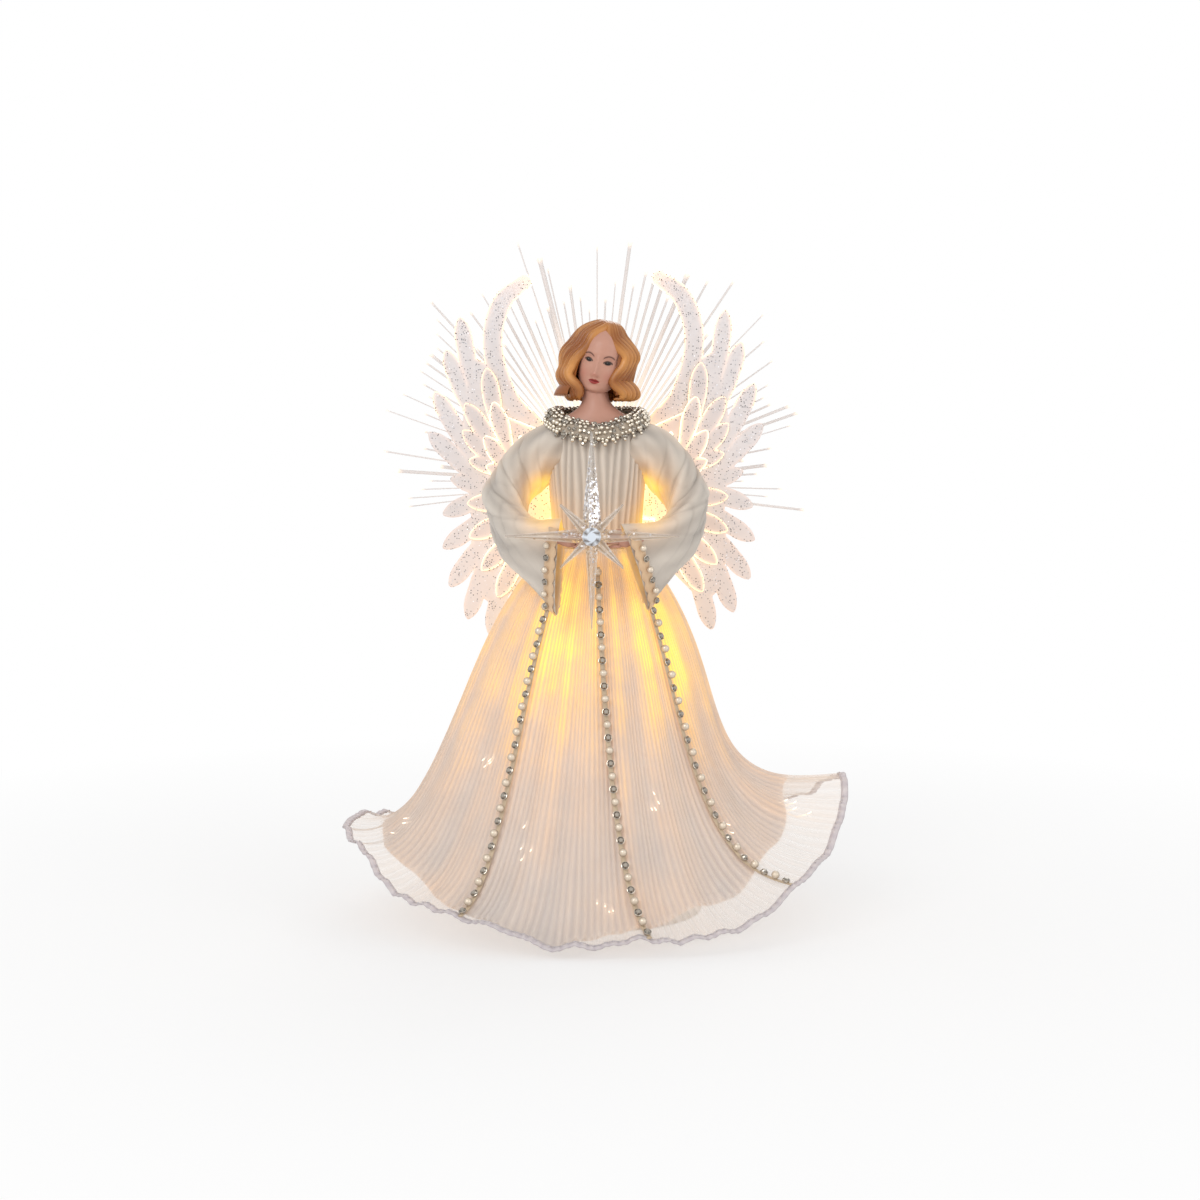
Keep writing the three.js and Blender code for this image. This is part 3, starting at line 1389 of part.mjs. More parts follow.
const lampNames = lampPlaceShares.map((_, i) => [`lamp_${i + 1}`, "lamp"]);
addPieces(makeConeAndLamps(), "whitePlastic", Object.fromEntries(lampNames));
addPieces(makeBatteryBox(), "whitePlastic", {
  contact_lower: "steel",
  contact_upper: "steel",
  circuit_board: "board",
  lamp_lead: "copperLead",
  battery_1: "cell",
  battery_2: "cell",
  battery_3: "cell",
});
addPieces(makeSkirt(), "organza", { skirt_lining: "lining", hem_band: "hem" });
addPiece("bust", makeBust(), "resin");
addPiece("bodice", makeBodice(), "crepe");
const rightSleeve = makeSleeve();
addPieces({ right_sleeve: rightSleeve, left_sleeve: mirrored(rightSleeve) }, "crepe");
addPieces({ right_hand: makeHand(1), left_hand: makeHand(-1) }, "resin");
addPiece("arm_armature", armWire(wireRadius), "steel");
trimNames.forEach((name, i) => {
  addPiece(`trim_strip_${name}`, makeTrimStrip(trimTopShares[i], trimTopTurnsDeg[i], trimHemTurnsDeg[i]), "pearl");
});
const rightCuffTrim = makeCuffTrim();
addPieces({ right_cuff_trim: rightCuffTrim, left_cuff_trim: mirrored(rightCuffTrim) }, "pearl");
addPiece("collar_beads", makeCollar(), "silver");
addPieces({ star: makeStarBody(0), star_gem: makeGem() }, "clearPlastic");
const rivetNames = ["right", "left"].flatMap((side) => [1, 2].map((i) => [`${side}_wing_rivet_${i}`, "steel"]));
addPieces(makeWings(), "glitterSheet", Object.fromEntries(rivetNames));
addPiece("wing_bracket", makeBracket(), "whitePlastic");
addPieces(makeFibreLamp(), "whitePlastic", { fibre_lamp: "lamp" });
addPiece("fibre_spray", makeFibreSpray(), "clearPlastic");
addPiece("skirt_fibres", makeSkirtFibres(), "clearPlastic");

export default topper;
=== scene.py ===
"""Looks of a lighted angel for the tip of a christmas tree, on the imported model's frame.

Sizes are in millimetres in the classes, and a mesh gets them in metres. The angel faces -Y.
"""

import logging
import math
from dataclasses import dataclass
from enum import Enum
from itertools import product
from typing import Sequence

import bmesh
import bpy
import numpy as np
from mathutils import Matrix, Vector


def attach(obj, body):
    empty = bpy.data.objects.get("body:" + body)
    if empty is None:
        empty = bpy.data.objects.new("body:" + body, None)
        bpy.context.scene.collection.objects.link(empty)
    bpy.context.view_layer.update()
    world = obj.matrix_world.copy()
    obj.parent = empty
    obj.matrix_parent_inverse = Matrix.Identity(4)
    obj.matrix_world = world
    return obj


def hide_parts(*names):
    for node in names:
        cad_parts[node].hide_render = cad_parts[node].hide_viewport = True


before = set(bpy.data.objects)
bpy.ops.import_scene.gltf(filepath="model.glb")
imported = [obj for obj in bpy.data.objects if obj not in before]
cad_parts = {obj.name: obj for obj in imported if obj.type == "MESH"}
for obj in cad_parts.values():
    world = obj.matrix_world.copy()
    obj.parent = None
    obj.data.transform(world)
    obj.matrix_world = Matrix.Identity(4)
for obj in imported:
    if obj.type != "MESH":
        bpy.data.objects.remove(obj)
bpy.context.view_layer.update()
LOG = logging.getLogger("topper")
MM = 0.001
TURN = 2 * math.pi
BODY = "topper"
WAVE_PERIOD = 0.314
SIDES = {1: "right_", -1: "left_"}
Socket = bpy.types.NodeSocket
Colour = tuple[float, float, float]
Stops = tuple[tuple[float, Colour], ...]
BLACK: Colour = (0.0, 0.0, 0.0)
PURE_WHITE: Colour = (1.0, 1.0, 1.0)


class Held(Enum):
    """How a sheet of cloth is held."""

    GATHERED = "gathered"
    STRETCHED = "stretched"
    HUNG = "hung"


# Short ways to build a node tree


class Nodes:
    """A node tree with short ways to add to it."""

    def __init__(self, tree: bpy.types.NodeTree) -> None:
        """Takes the tree that the nodes go into."""
        self.tree = tree

    def put(self, socket: Socket, value: object) -> None:
        """Links a socket's source, or sets its value; a plain colour becomes a solid one."""
        if isinstance(value, Socket):
            self.tree.links.new(value, socket)
        elif socket.type == "RGBA" and len(value) == 3:
            socket.default_value = (*value, 1.0)
        else:
            socket.default_value = value

    def node(self, kind: str, inputs: dict | None = None, **settings: object) -> bpy.types.Node:
        """Adds a node.

        Args:
            kind: Blender's name of the node type.
            inputs: value or source for each input, by name or number.
            settings: the node's own settings.
        Returns:
            The node.
        """
        made = self.tree.nodes.new(kind)
        for key, value in settings.items():
            setattr(made, key, value)
        for key, value in (inputs or {}).items():
            self.put(made.inputs[key], value)
        return made

    def math(self, operation: str, first: object, second: object = 0.0, clamp: bool = False) -> Socket:
        """Adds a Math node and returns its result."""
        return self.node("ShaderNodeMath", {0: first, 1: second}, operation=operation, use_clamp=clamp).outputs[0]

    def scaled(self, value: object, factor: object, plus: object) -> Socket:
        """A value times a factor, plus another value."""
        return self.node("ShaderNodeMath", {0: value, 1: factor, 2: plus}, operation="MULTIPLY_ADD").outputs[0]

    def mix(self, share: object, first: object, second: object, blend: str = "MIX") -> Socket:
        """Mixes two colours and returns the result."""
        values = {0: share, 6: first, 7: second}
        return self.node("ShaderNodeMix", values, data_type="RGBA", blend_type=blend).outputs[2]

    def ramp(self, value: object, stops: Stops) -> Socket:
        """Turns a value into a colour by a row of stops."""
        made = self.node("ShaderNodeValToRGB", {0: value})
        elements = made.color_ramp.elements
        while len(elements) < len(stops):
            elements.new(1.0)
        for element, (place, colour) in zip(elements, stops):
            element.position = place
            element.color = (*colour, 1.0)
        return made.outputs[0]


class Shader(Nodes):
    """A material on one Principled BSDF."""

    def __init__(self, name: str) -> None:
        """Starts the material."""
        self.material = bpy.data.materials.new(name)
        self.material.use_nodes = True
        super().__init__(self.material.node_tree)
        self.bsdf = self.tree.nodes["Principled BSDF"]
        self.coords = self.node("ShaderNodeTexCoord").outputs["Object"]

    def noise(self, size: float, detail: float = 3.0) -> Socket:
        """A noise whose lumps are about size millimetres."""
        values = {"Vector": self.coords, "Scale": 1 / (size * MM), "Detail": detail}
        return self.node("ShaderNodeTexNoise", values).outputs["Fac"]

    def specks(self, size: float) -> tuple[Socket, Socket, Socket]:
        """Specks about size millimetres apart: the distance to the nearest one, and two random values of its own."""
        cells = self.node("ShaderNodeTexVoronoi", {"Vector": self.coords, "Scale": 1 / (size * MM)})
        own = self.node("ShaderNodeSeparateColor", {0: cells.outputs["Color"]})
        return cells.outputs["Distance"], own.outputs[0], own.outputs[1]

    def attribute(self, name: str, part: str = "Fac") -> Socket:
        """What the mesh holds under a name: a value, or a colour where part says so."""
        return self.node("ShaderNodeAttribute", attribute_name=name).outputs[part]

    def bump(self, height: object, depth: float) -> None:
        """Gives the surface relief of a depth in millimetres."""
        self.set(Normal=self.node("ShaderNodeBump", {"Height": height, "Distance": depth * MM}).outputs[0])

    def set(self, **values: object) -> None:
        """Sets inputs of the surface; an underscore in a name stands for a space."""
        for key, value in values.items():
            self.put(self.bsdf.inputs[key.replace("_", " ")], value)

    def sheer(self, cover: object) -> None:
        """Lets light through where the cover is below one."""
        clear = self.node("ShaderNodeBsdfTransparent").outputs[0]
        self.show(self.node("ShaderNodeMixShader", {0: cover, 1: clear, 2: self.bsdf.outputs[0]}).outputs[0])

    def show(self, surface: Socket) -> None:
        """Makes a shader the one that the material shows."""
        self.put(self.tree.nodes["Material Output"].inputs["Surface"], surface)


def dimmed(colour: Colour, share: float) -> Colour:
    """A colour at a share of its strength."""
    return tuple(channel * share for channel in colour)


# Finishes


@dataclass(frozen=True)
class Plastic:
    """Moulded plastic or painted metal, with a faint mottle and a fine grain."""

    name: str
    colour: Colour
    roughness: float = 0.4
    metallic: float = 0.0
    grain: float = 0.6
    glow: float = 0.0
    unevenness: float = 0.12

    def make(self) -> bpy.types.Material:
        """Builds the material."""
        shader = Shader(self.name)
        mottle = shader.mix(shader.noise(9.0), dimmed(self.colour, 0.88), self.colour)
        shader.set(Base_Color=mottle, Metallic=self.metallic)
        least = self.roughness - self.unevenness / 2
        shader.set(Roughness=shader.scaled(shader.noise(self.grain * 4), self.unevenness, least))
        shader.bump(shader.noise(self.grain), 0.02)
        if self.glow:
            shader.set(Emission_Color=self.colour, Emission_Strength=self.glow)
        return shader.material


@dataclass(frozen=True)
class Cloth:
    """Cloth that is lit from behind: a weave, a sheen, painted shade in the hollows of its folds, and a painted warm
    glow where the mesh says.
    """

    name: str
    colour: Colour
    # the colour painted as shade in the hollows of the folds
    shade: Colour
    weave: float
    depth: float
    cover: float = 1.0
    sheen: float = 0.3
    light: Stops = ((0.0, BLACK), (0.35, (0.16, 0.09, 0.05)), (0.65, (0.42, 0.24, 0.08)), (1.0, (0.85, 0.58, 0.12)))
    # the tint that the painted glow gives the cloth's colour
    glow_tint: Stops = ((0.0, PURE_WHITE), (0.4, (1.0, 0.88, 0.75)), (0.7, (1.0, 0.78, 0.46)), (1.0, (0.95, 0.72, 0.22)))

    def make(self) -> bpy.types.Material:
        """Builds the material."""
        shader = Shader(self.name)
        # Painted shade: where the mesh's fold value is low, in the hollows of the folds, the cloth takes its shade
        # colour; the noise adds an uneven tone.
        fold = shader.attribute("fold")
        cloudy = shader.math("SUBTRACT", shader.scaled(shader.noise(22.0), 0.5, fold), 0.25, True)
        plain = shader.mix(cloudy, self.shade, self.colour)
        wave = {"Vector": shader.node("ShaderNodeUVMap", uv_map="cloth").outputs[0], "Scale": WAVE_PERIOD / self.weave,
                "Distortion": 0.6}
        threads = [shader.node("ShaderNodeTexWave", wave, bands_direction=way).outputs["Fac"] for way in "YX"]
        weave = shader.math("ADD", *threads)
        shader.bump(weave, self.depth)
        # Painted light: the glow tints the cloth's colour and shines from it.
        glow = shader.math("MULTIPLY", shader.attribute("glow"), shader.math("ADD", shader.noise(16.0), 0.5))
        lit = shader.mix(1.0, plain, shader.ramp(glow, self.glow_tint), "MULTIPLY")
        shader.set(Base_Color=lit, Roughness=0.72, Sheen_Weight=self.sheen, Sheen_Roughness=0.4)
        shader.set(Emission_Color=shader.ramp(glow, self.light), Emission_Strength=1.0)
        if self.cover < 1:
            cover = shader.scaled(fold, -0.22, self.cover)
            shader.sheer(shader.math("ADD", cover, shader.math("MULTIPLY", weave, 0.16), True))
        return shader.material


@dataclass(frozen=True)
class Glitter:
    """A translucent sheet with silver and dark specks, whose cut edge carries the light."""

    name: str
    colour: Colour
    cover: float
    pitch: float
    edge_glow: float
    speck: float = 0.29
    tones: Stops = ((0.0, (0.03, 0.03, 0.035)), (0.6, (0.2, 0.2, 0.22)), (1.0, (0.95, 0.95, 1.0)))
    light: Stops = (
        (0.0, BLACK), (0.35, (0.2, 0.1, 0.04)), (0.7, (0.75, 0.45, 0.14)), (0.88, (1.0, 0.8, 0.4)),
        (1.0, (1.0, 0.94, 0.72)),
    )

    def make(self) -> bpy.types.Material:
        """Builds the material."""
        shader = Shader(self.name)
        distance, chance, tone = shader.specks(self.pitch)
        patches = shader.scaled(shader.noise(13.0, 2.0), 1.5, -0.2)
        near, chosen = shader.math("LESS_THAN", distance, self.speck), shader.math("LESS_THAN", chance, patches)
        speck = shader.math("MULTIPLY", near, chosen)
        mist = shader.mix(shader.noise(30.0), dimmed(self.colour, 0.93), self.colour)
        shader.set(Base_Color=shader.mix(speck, mist, shader.ramp(tone, self.tones)),
                   Metallic=shader.math("MULTIPLY", speck, 0.6), Roughness=0.42)
        shader.bump(shader.noise(0.8), 0.05)
        light = shader.attribute("glow")
        shone = shader.mix(shader.math("MULTIPLY", speck, 0.85), shader.ramp(light, self.light), BLACK)
        shader.set(Emission_Color=shone, Emission_Strength=self.edge_glow)
        cover = shader.math("ADD", shader.math("MULTIPLY", speck, 0.5), self.cover)
        shader.sheer(shader.math("ADD", cover, shader.math("MULTIPLY", light, 0.35), True))
        return shader.material


@dataclass(frozen=True)
class Clear:
    """Clear moulded plastic or cut glass, with glitter dust where asked, painted shade where the mesh marks it dark and
    a painted warm glow where it marks it warm.
    """

    name: str
    colour: Colour
    roughness: float
    cover: float
    dust: float = 0.0
    pitch: float = 0.9
    # the colour painted as shade in the grooves and facets that the mesh marks dark
    depth: Colour = (0.12, 0.085, 0.06)
    light: Colour = (0.9, 0.5, 0.16)
    light_strength: float = 0.26
    tones: Stops = ((0.0, (0.2, 0.2, 0.24)), (0.5, (0.55, 0.56, 0.6)), (1.0, PURE_WHITE))

    def make(self) -> bpy.types.Material:
        """Builds the material."""
        shader = Shader(self.name)
        _, chance, tone = shader.specks(self.pitch)
        speck = shader.math("LESS_THAN", chance, shader.math("MULTIPLY", shader.attribute("frost"), self.dust))
        # Painted shade: grooves and facets that the mesh marks dark take the dark colour.
        body = shader.mix(shader.attribute("dark"), self.colour, self.depth)
        # Painted light: where the mesh marks it warm, the plastic glows.
        shader.set(Base_Color=shader.mix(speck, body, shader.ramp(tone, self.tones)), Roughness=self.roughness,
                   Metallic=shader.math("MULTIPLY", speck, 0.7), IOR=1.49, Coat_Weight=0.4, Coat_Roughness=0.05,
                   Emission_Color=shader.mix(shader.attribute("warm"), BLACK, self.light),
                   Emission_Strength=self.light_strength)
        shader.bump(shader.noise(2.5, 2.0), 0.05)
        facing = shader.node("ShaderNodeLayerWeight", {"Blend": 0.35}).outputs["Facing"]
        cover = shader.math("ADD", shader.math("MULTIPLY", facing, 0.6), self.cover)
        # The painted shade also makes the dark-marked facets less clear.
        cover = shader.math("ADD", cover, shader.math("MULTIPLY", shader.attribute("dark"), 0.3))
        shader.sheer(shader.math("ADD", cover, shader.math("MULTIPLY", speck, 0.6), True))
        return shader.material


@dataclass(frozen=True)
class Pearl:
    """A pearl or a bright bead: a soft deep gloss over a warm body, with painted shade towards its outline and where
    the mesh marks it dark.
    """

    name: str
    colour: Colour
    metallic: float
    roughness: float
    # the colour painted as shade where the mesh marks facets dark
    depth: Colour = (0.03, 0.028, 0.026)

    def make(self) -> bpy.types.Material:
        """Builds the material."""
        shader = Shader(self.name)
        # Painted shade: the colour darkens to half towards the bead's outline as it is seen.
        facing = shader.node("ShaderNodeLayerWeight", {"Blend": 0.5}).outputs["Facing"]
        body = shader.mix(facing, self.colour, dimmed(self.colour, 0.5))
        shader.set(Base_Color=shader.mix(shader.attribute("dark"), body, self.depth), Metallic=self.metallic,
                   Roughness=self.roughness, Coat_Weight=0.8, Coat_Roughness=0.12)
        shader.bump(shader.noise(0.9), 0.02)
        return shader.material


@dataclass(frozen=True)
class Painted:
    """Cast resin whose colours are painted on the mesh."""

    name: str
    roughness: float
    coat: float
    grain: float
    mottle: tuple[Colour, Colour] = ((0.5, 0.36, 0.26), (1.0, 0.95, 0.88))

    def make(self) -> bpy.types.Material:
        """Builds the material."""
        shader = Shader(self.name)
        cloudy = shader.mix(shader.noise(2.2), *self.mottle)
        shader.set(Base_Color=shader.mix(0.12, shader.attribute("paint", "Color"), cloudy, "MULTIPLY"),
                   Roughness=self.roughness, Coat_Weight=self.coat, Coat_Roughness=0.25, Specular_IOR_Level=0.25)
        shader.bump(shader.noise(self.grain), 0.04)
        return shader.material


@dataclass(frozen=True)
class Glow:
    """Something that gives light, brighter where the mesh says."""

    name: str
    colour: Colour
    body: Colour
    strength: float
    cover: float

    def make(self) -> bpy.types.Material:
        """Builds the material."""
        shader = Shader(self.name)
        light = shader.attribute("glow")
        shader.set(Base_Color=shader.mix(shader.noise(6.0), self.body, dimmed(self.body, 0.9)), Roughness=0.25,
                   Emission_Strength=self.strength, Emission_Color=shader.mix(light, BLACK, self.colour))
        shader.sheer(shader.math("ADD", shader.math("MULTIPLY", light, 1 - self.cover), self.cover, True))
        return shader.material


ORGANZA = Cloth("organza", (0.84, 0.8, 0.77), (0.63, 0.58, 0.56), 0.16, 0.03, cover=0.7, sheen=0.5)
LINING = Cloth("satin_lining", (0.86, 0.8, 0.75), (0.74, 0.67, 0.62), 0.3, 0.02, sheen=0.2)
HEM_TAPE = Cloth("hem_tape", (0.76, 0.72, 0.75), (0.58, 0.54, 0.58), 0.4, 0.05, cover=0.85)
CREPE = Cloth("crepe", (0.71, 0.64, 0.56), (0.45, 0.4, 0.35), 0.5, 0.05, sheen=0.4)
BACKING = Cloth("trim_backing", (0.7, 0.58, 0.42), (0.42, 0.32, 0.22), 0.4, 0.05)
# a backing ribbon, coloured darker than the beads so that the gaps between them show as painted shade
MESH = Cloth("collar_mesh", (0.56, 0.47, 0.37), (0.36, 0.29, 0.22), 0.6, 0.08)
PEARL = Pearl("pearl", (0.76, 0.64, 0.5), 0.25, 0.22)
STONE = Pearl("cut_stone", (0.56, 0.5, 0.42), 0.85, 0.12)
COLLAR_METAL = Pearl("metal_bead", (0.78, 0.7, 0.58), 0.8, 0.2)
SKIN = Painted("painted_resin", 0.42, 0.15, 0.7)
HAIR = Painted("painted_hair", 0.38, 0.25, 0.25)
SHEET = Glitter("glitter_sheet", (0.82, 0.79, 0.8), 0.68, 1.1, 1.2)
ACRYLIC = Clear("clear_acrylic", (0.84, 0.81, 0.77), 0.05, 0.26, 0.7)
GEM = Clear("faceted_glass", (0.78, 0.84, 0.92), 0.03, 0.92)
FIBRE = Glow("optical_fibre", (1.0, 0.82, 0.6), (0.74, 0.68, 0.67), 1.25, 0.5)
THREAD = Plastic("hem_thread", (0.62, 0.58, 0.6), 0.7)
WHITE = Plastic("white_plastic", (0.86, 0.84, 0.8), 0.38)
STEEL = Plastic("steel", (0.56, 0.56, 0.58), 0.32, 0.9, 0.3)
LEAD = Plastic("lead_cover", (0.82, 0.8, 0.72), 0.55)
BOARD = Plastic("circuit_board", (0.09, 0.26, 0.12), 0.5)
CELL = Plastic("cell_sleeve", (0.4, 0.42, 0.45), 0.35, 0.4)
LAMP_GLASS = Plastic("lamp_glass", (1.0, 0.74, 0.36), 0.2, glow=3.0)


# Short ways to build a mesh


def circle(count: int) -> np.ndarray:
    """Angles evenly all the way round."""
    return np.arange(count) * TURN / count


def spline(near: Sequence[np.ndarray], share: np.ndarray) -> np.ndarray:
    """A smooth step from the second to the third of four values."""
    before, first, second, after = near
    into, out = (second - before) / 2, (after - first) / 2
    bend, pull = 2 * first - 2 * second + into + out, 3 * second - 3 * first - 2 * into - out
    return ((bend * share + pull) * share + into) * share + first


def around(table: np.ndarray, place: np.ndarray) -> np.ndarray:
    """Smooth values round a closed table, at places counted in its entries."""
    first = np.floor(place).astype(int)
    return spline([table[(first + i) % len(table)] for i in (-1, 0, 1, 2)], (place - first)[..., None])


def along(table: np.ndarray, place: np.ndarray) -> np.ndarray:
    """Smooth values along an open table, at shares of its length from 0 to 1."""
    table = np.asarray(table, float)
    ends = np.concatenate([2 * table[:1] - table[1:2], table, 2 * table[-1:] - table[-2:-1]])
    spot = np.clip(place, 0, 1) * (len(table) - 1)
    first = np.minimum(np.floor(spot).astype(int), len(table) - 2)
    share = (spot - first).reshape(spot.shape + (1,) * (table.ndim - 1))
    return spline([ends[first + i] for i in range(4)], share)


def unit(vectors: np.ndarray) -> np.ndarray:
    """Vectors at length one."""
    return vectors / np.maximum(np.linalg.norm(vectors, axis=-1, keepdims=True), 1e-9)


def band(value: np.ndarray, middle: float, width: float) -> np.ndarray:
    """One at the middle, fading to nothing over the width."""
    return np.exp(-(((value - middle) / width) ** 2))


def smooth(value: np.ndarray) -> np.ndarray:
    """A soft step from 0 to 1."""
    share = np.clip(value, 0, 1)
    return share * share * (3 - 2 * share)


def lathe(rows: Sequence[tuple[float, float]], sides: int, middle: Sequence[float] = (0, 0, 0),
          upright: bool = True) -> np.ndarray:
    """Rings of points round an axis.

    Args:
        rows: the radius of each ring, and its place along the axis.
        sides: how many points a ring has.
        middle: where the axis begins.
        upright: whether the axis is Z; if not, it is Y.
    Returns:
        The rings.
    """
    radii, places = np.array(rows, float).T[..., None]
    across, deep, turns = radii * np.cos(circle(sides)), radii * np.sin(circle(sides)), places + np.zeros(sides)
    return np.stack([across, deep, turns] if upright else [across, turns, deep], axis=-1) + np.asarray(middle, float)


def grid_faces(rows: int, columns: int, ring: bool = True, hoop: bool = False) -> list[tuple[int, int, int, int]]:
    """Faces of a grid of points.

    Args:
        rows: how many rows of points there are.
        columns: how many points a row has.
        ring: whether the last column joins the first.
        hoop: whether the last row joins the first.
    Returns:
        Four indices a face.
    """
    faces = []
    for i in range(rows if hoop else rows - 1):
        upper = (i + 1) % rows
        for j in range(columns if ring else columns - 1):
            after = (j + 1) % columns
            faces.append((i * columns + j, i * columns + after, upper * columns + after, upper * columns + j))
    return faces


def show(name: str, mesh: bpy.types.Mesh) -> bpy.types.Object:
    """Puts a mesh in the scene as an object."""
    made = bpy.data.objects.new(name, mesh)
    bpy.context.scene.collection.objects.link(made)
    return made


def write(mesh: bpy.types.Mesh, name: str, kind: str, values: np.ndarray) -> None:
    """Writes a value for each point of a mesh."""
    part = {"FLOAT": "value", "FLOAT_VECTOR": "vector", "FLOAT_COLOR": "color"}[kind]
    mesh.attributes.new(name, kind, "POINT").data.foreach_set(part, np.asarray(values, np.float32).ravel())


@dataclass
class Form:
    """Points in millimetres with their faces, and values that ride on the points."""

    points: np.ndarray
    faces: list
    values: dict
    uv: np.ndarray | None = None
    paint: np.ndarray | None = None

    @staticmethod
    def sheet(points: np.ndarray, ring: bool = True, hoop: bool = False, **values: np.ndarray) -> "Form":
        """A grid of points as a form."""
        rows, columns = points.shape[:2]
        flat = {key: np.broadcast_to(value, (rows, columns)).ravel() for key, value in values.items()}
        return Form(points.reshape(-1, 3), grid_faces(rows, columns, ring, hoop), flat)

    @staticmethod
    def capped(points: np.ndarray, **values: np.ndarray) -> "Form":
        """Rings of points joined one to the next, with both ends closed by a fan."""
        made = Form.sheet(points, **values)
        rows, columns = points.shape[:2]
        middles = np.array([points[0].mean(0), points[-1].mean(0)])
        count = rows * columns
        made.points = np.concatenate([made.points, middles])
        last = count - columns
        made.faces += [(count, (j + 1) % columns, j) for j in range(columns)]
        made.faces += [(count + 1, last + j, last + (j + 1) % columns) for j in range(columns)]
        made.values = {k: np.concatenate([v, [v[0], v[-1]]]) for k, v in made.values.items()}
        return made

    @staticmethod
    def joined(forms: Sequence["Form"]) -> "Form":
        """Several forms as one."""
        counts = np.cumsum([0] + [len(form.points) for form in forms])
        faces = [tuple(i + start for i in face) for start, form in zip(counts, forms) for face in form.faces]
        values = {k: np.concatenate([form.values[k] for form in forms]) for k in forms[0].values}
        paint = np.concatenate([form.paint for form in forms]) if forms[0].paint is not None else None
        return Form(np.concatenate([form.points for form in forms]), faces, values, None, paint)

    def laid(self, across: np.ndarray, down: np.ndarray) -> "Form":
        """The form with the place of each point on the flat cloth, in millimetres."""
        self.uv = np.stack([across, down], axis=-1).reshape(-1, 2)
        return self

    def painted(self, paint: np.ndarray) -> "Form":
        """The form in one colour, or in one for each point but the middles of its ends."""
        paint = np.atleast_2d(paint)
        self.paint = np.concatenate([paint, np.tile(paint[:1], (len(self.points) - len(paint), 1))])
        return self

    def moved(self, matrix: Matrix) -> "Form":
        """The form moved by a matrix in millimetres."""
        turn = np.array(matrix)
        self.points = self.points @ turn[:3, :3].T + turn[:3, 3]
        return self

    def on_side(self, side: int) -> "Form":
        """The form for the right side of the figure, or mirrored for the left where side is -1."""
        if side > 0:
            return self
        faces = [tuple(reversed(face)) for face in self.faces]
        return Form(self.points * np.array([-1, 1, 1]), faces, self.values, self.uv, self.paint)

    def make(self, name: str, material: bpy.types.Material, outwards: bool = True) -> bpy.types.Object:
        """Makes the object.

        Args:
            name: the piece's name.
            material: its finish.
            outwards: whether the faces are turned to point out of a closed shape.
        Returns:
            The object, at the origin.
        """
        mesh = bpy.data.meshes.new(name)
        mesh.from_pydata((self.points * MM).tolist(), [], self.faces)
        for key, value in self.values.items():
            write(mesh, key, "FLOAT", value)
        if self.paint is not None:
            write(mesh, "paint", "FLOAT_COLOR", np.concatenate([self.paint, np.ones((len(self.paint), 1))], axis=1))
        if self.uv is not None:
            loops = np.zeros(len(mesh.loops), int)
            mesh.loops.foreach_get("vertex_index", loops)
            mesh.uv_layers.new(name="cloth").data.foreach_set("uv", self.uv[loops].astype(np.float32).ravel())
        mesh.shade_smooth()
        mesh.materials.append(material)
        if outwards:
            turn_outwards(mesh)
        return show(name, mesh)


def turn_outwards(mesh: bpy.types.Mesh) -> None:
    """Points the faces of closed shapes outwards."""
    work = bmesh.new()
    work.from_mesh(mesh)
    bmesh.ops.recalc_face_normals(work, faces=work.faces)
    work.to_mesh(mesh)
    work.free()


def dress(piece: bpy.types.Object, nodes: Sequence[str] = (), body: str = BODY) -> bpy.types.Object:
    """Puts a piece under its body, hides the nodes that it stands for, and reports it."""
    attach(piece, body)
    if nodes:
        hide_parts(*nodes)
    LOG.info("%s: %d faces", piece.name, len(piece.data.polygons))
    return piece


def tube(points: np.ndarray, radii: np.ndarray, sides: int = 6, flat: float = 1.0, side: Sequence[float] = (0, 1, 0.2),
         **values: np.ndarray) -> Form:
    """A round or flattened tube along points.

    Args:
        points: its centreline.
        radii: the radius at each point.
        sides: how many sides it has.
        flat: its thickness as a share of its width.
        side: a direction that the line never runs in, across which it is thin.
        values: values for each point of the line.
    Returns:
        The closed form.
    """
    run = unit(np.gradient(points, axis=0))
    across = unit(np.cross(run, np.asarray(side, float)))
    out = np.cross(across, run)
    turns = circle(sides)
    ring = across[:, None] * np.cos(turns)[None, :, None] + out[:, None] * (np.sin(turns) * flat)[None, :, None]
    rows = points[:, None] + ring * np.asarray(radii, float)[:, None, None]
    return Form.capped(rows, **{key: np.asarray(value, float)[:, None] for key, value in values.items()})


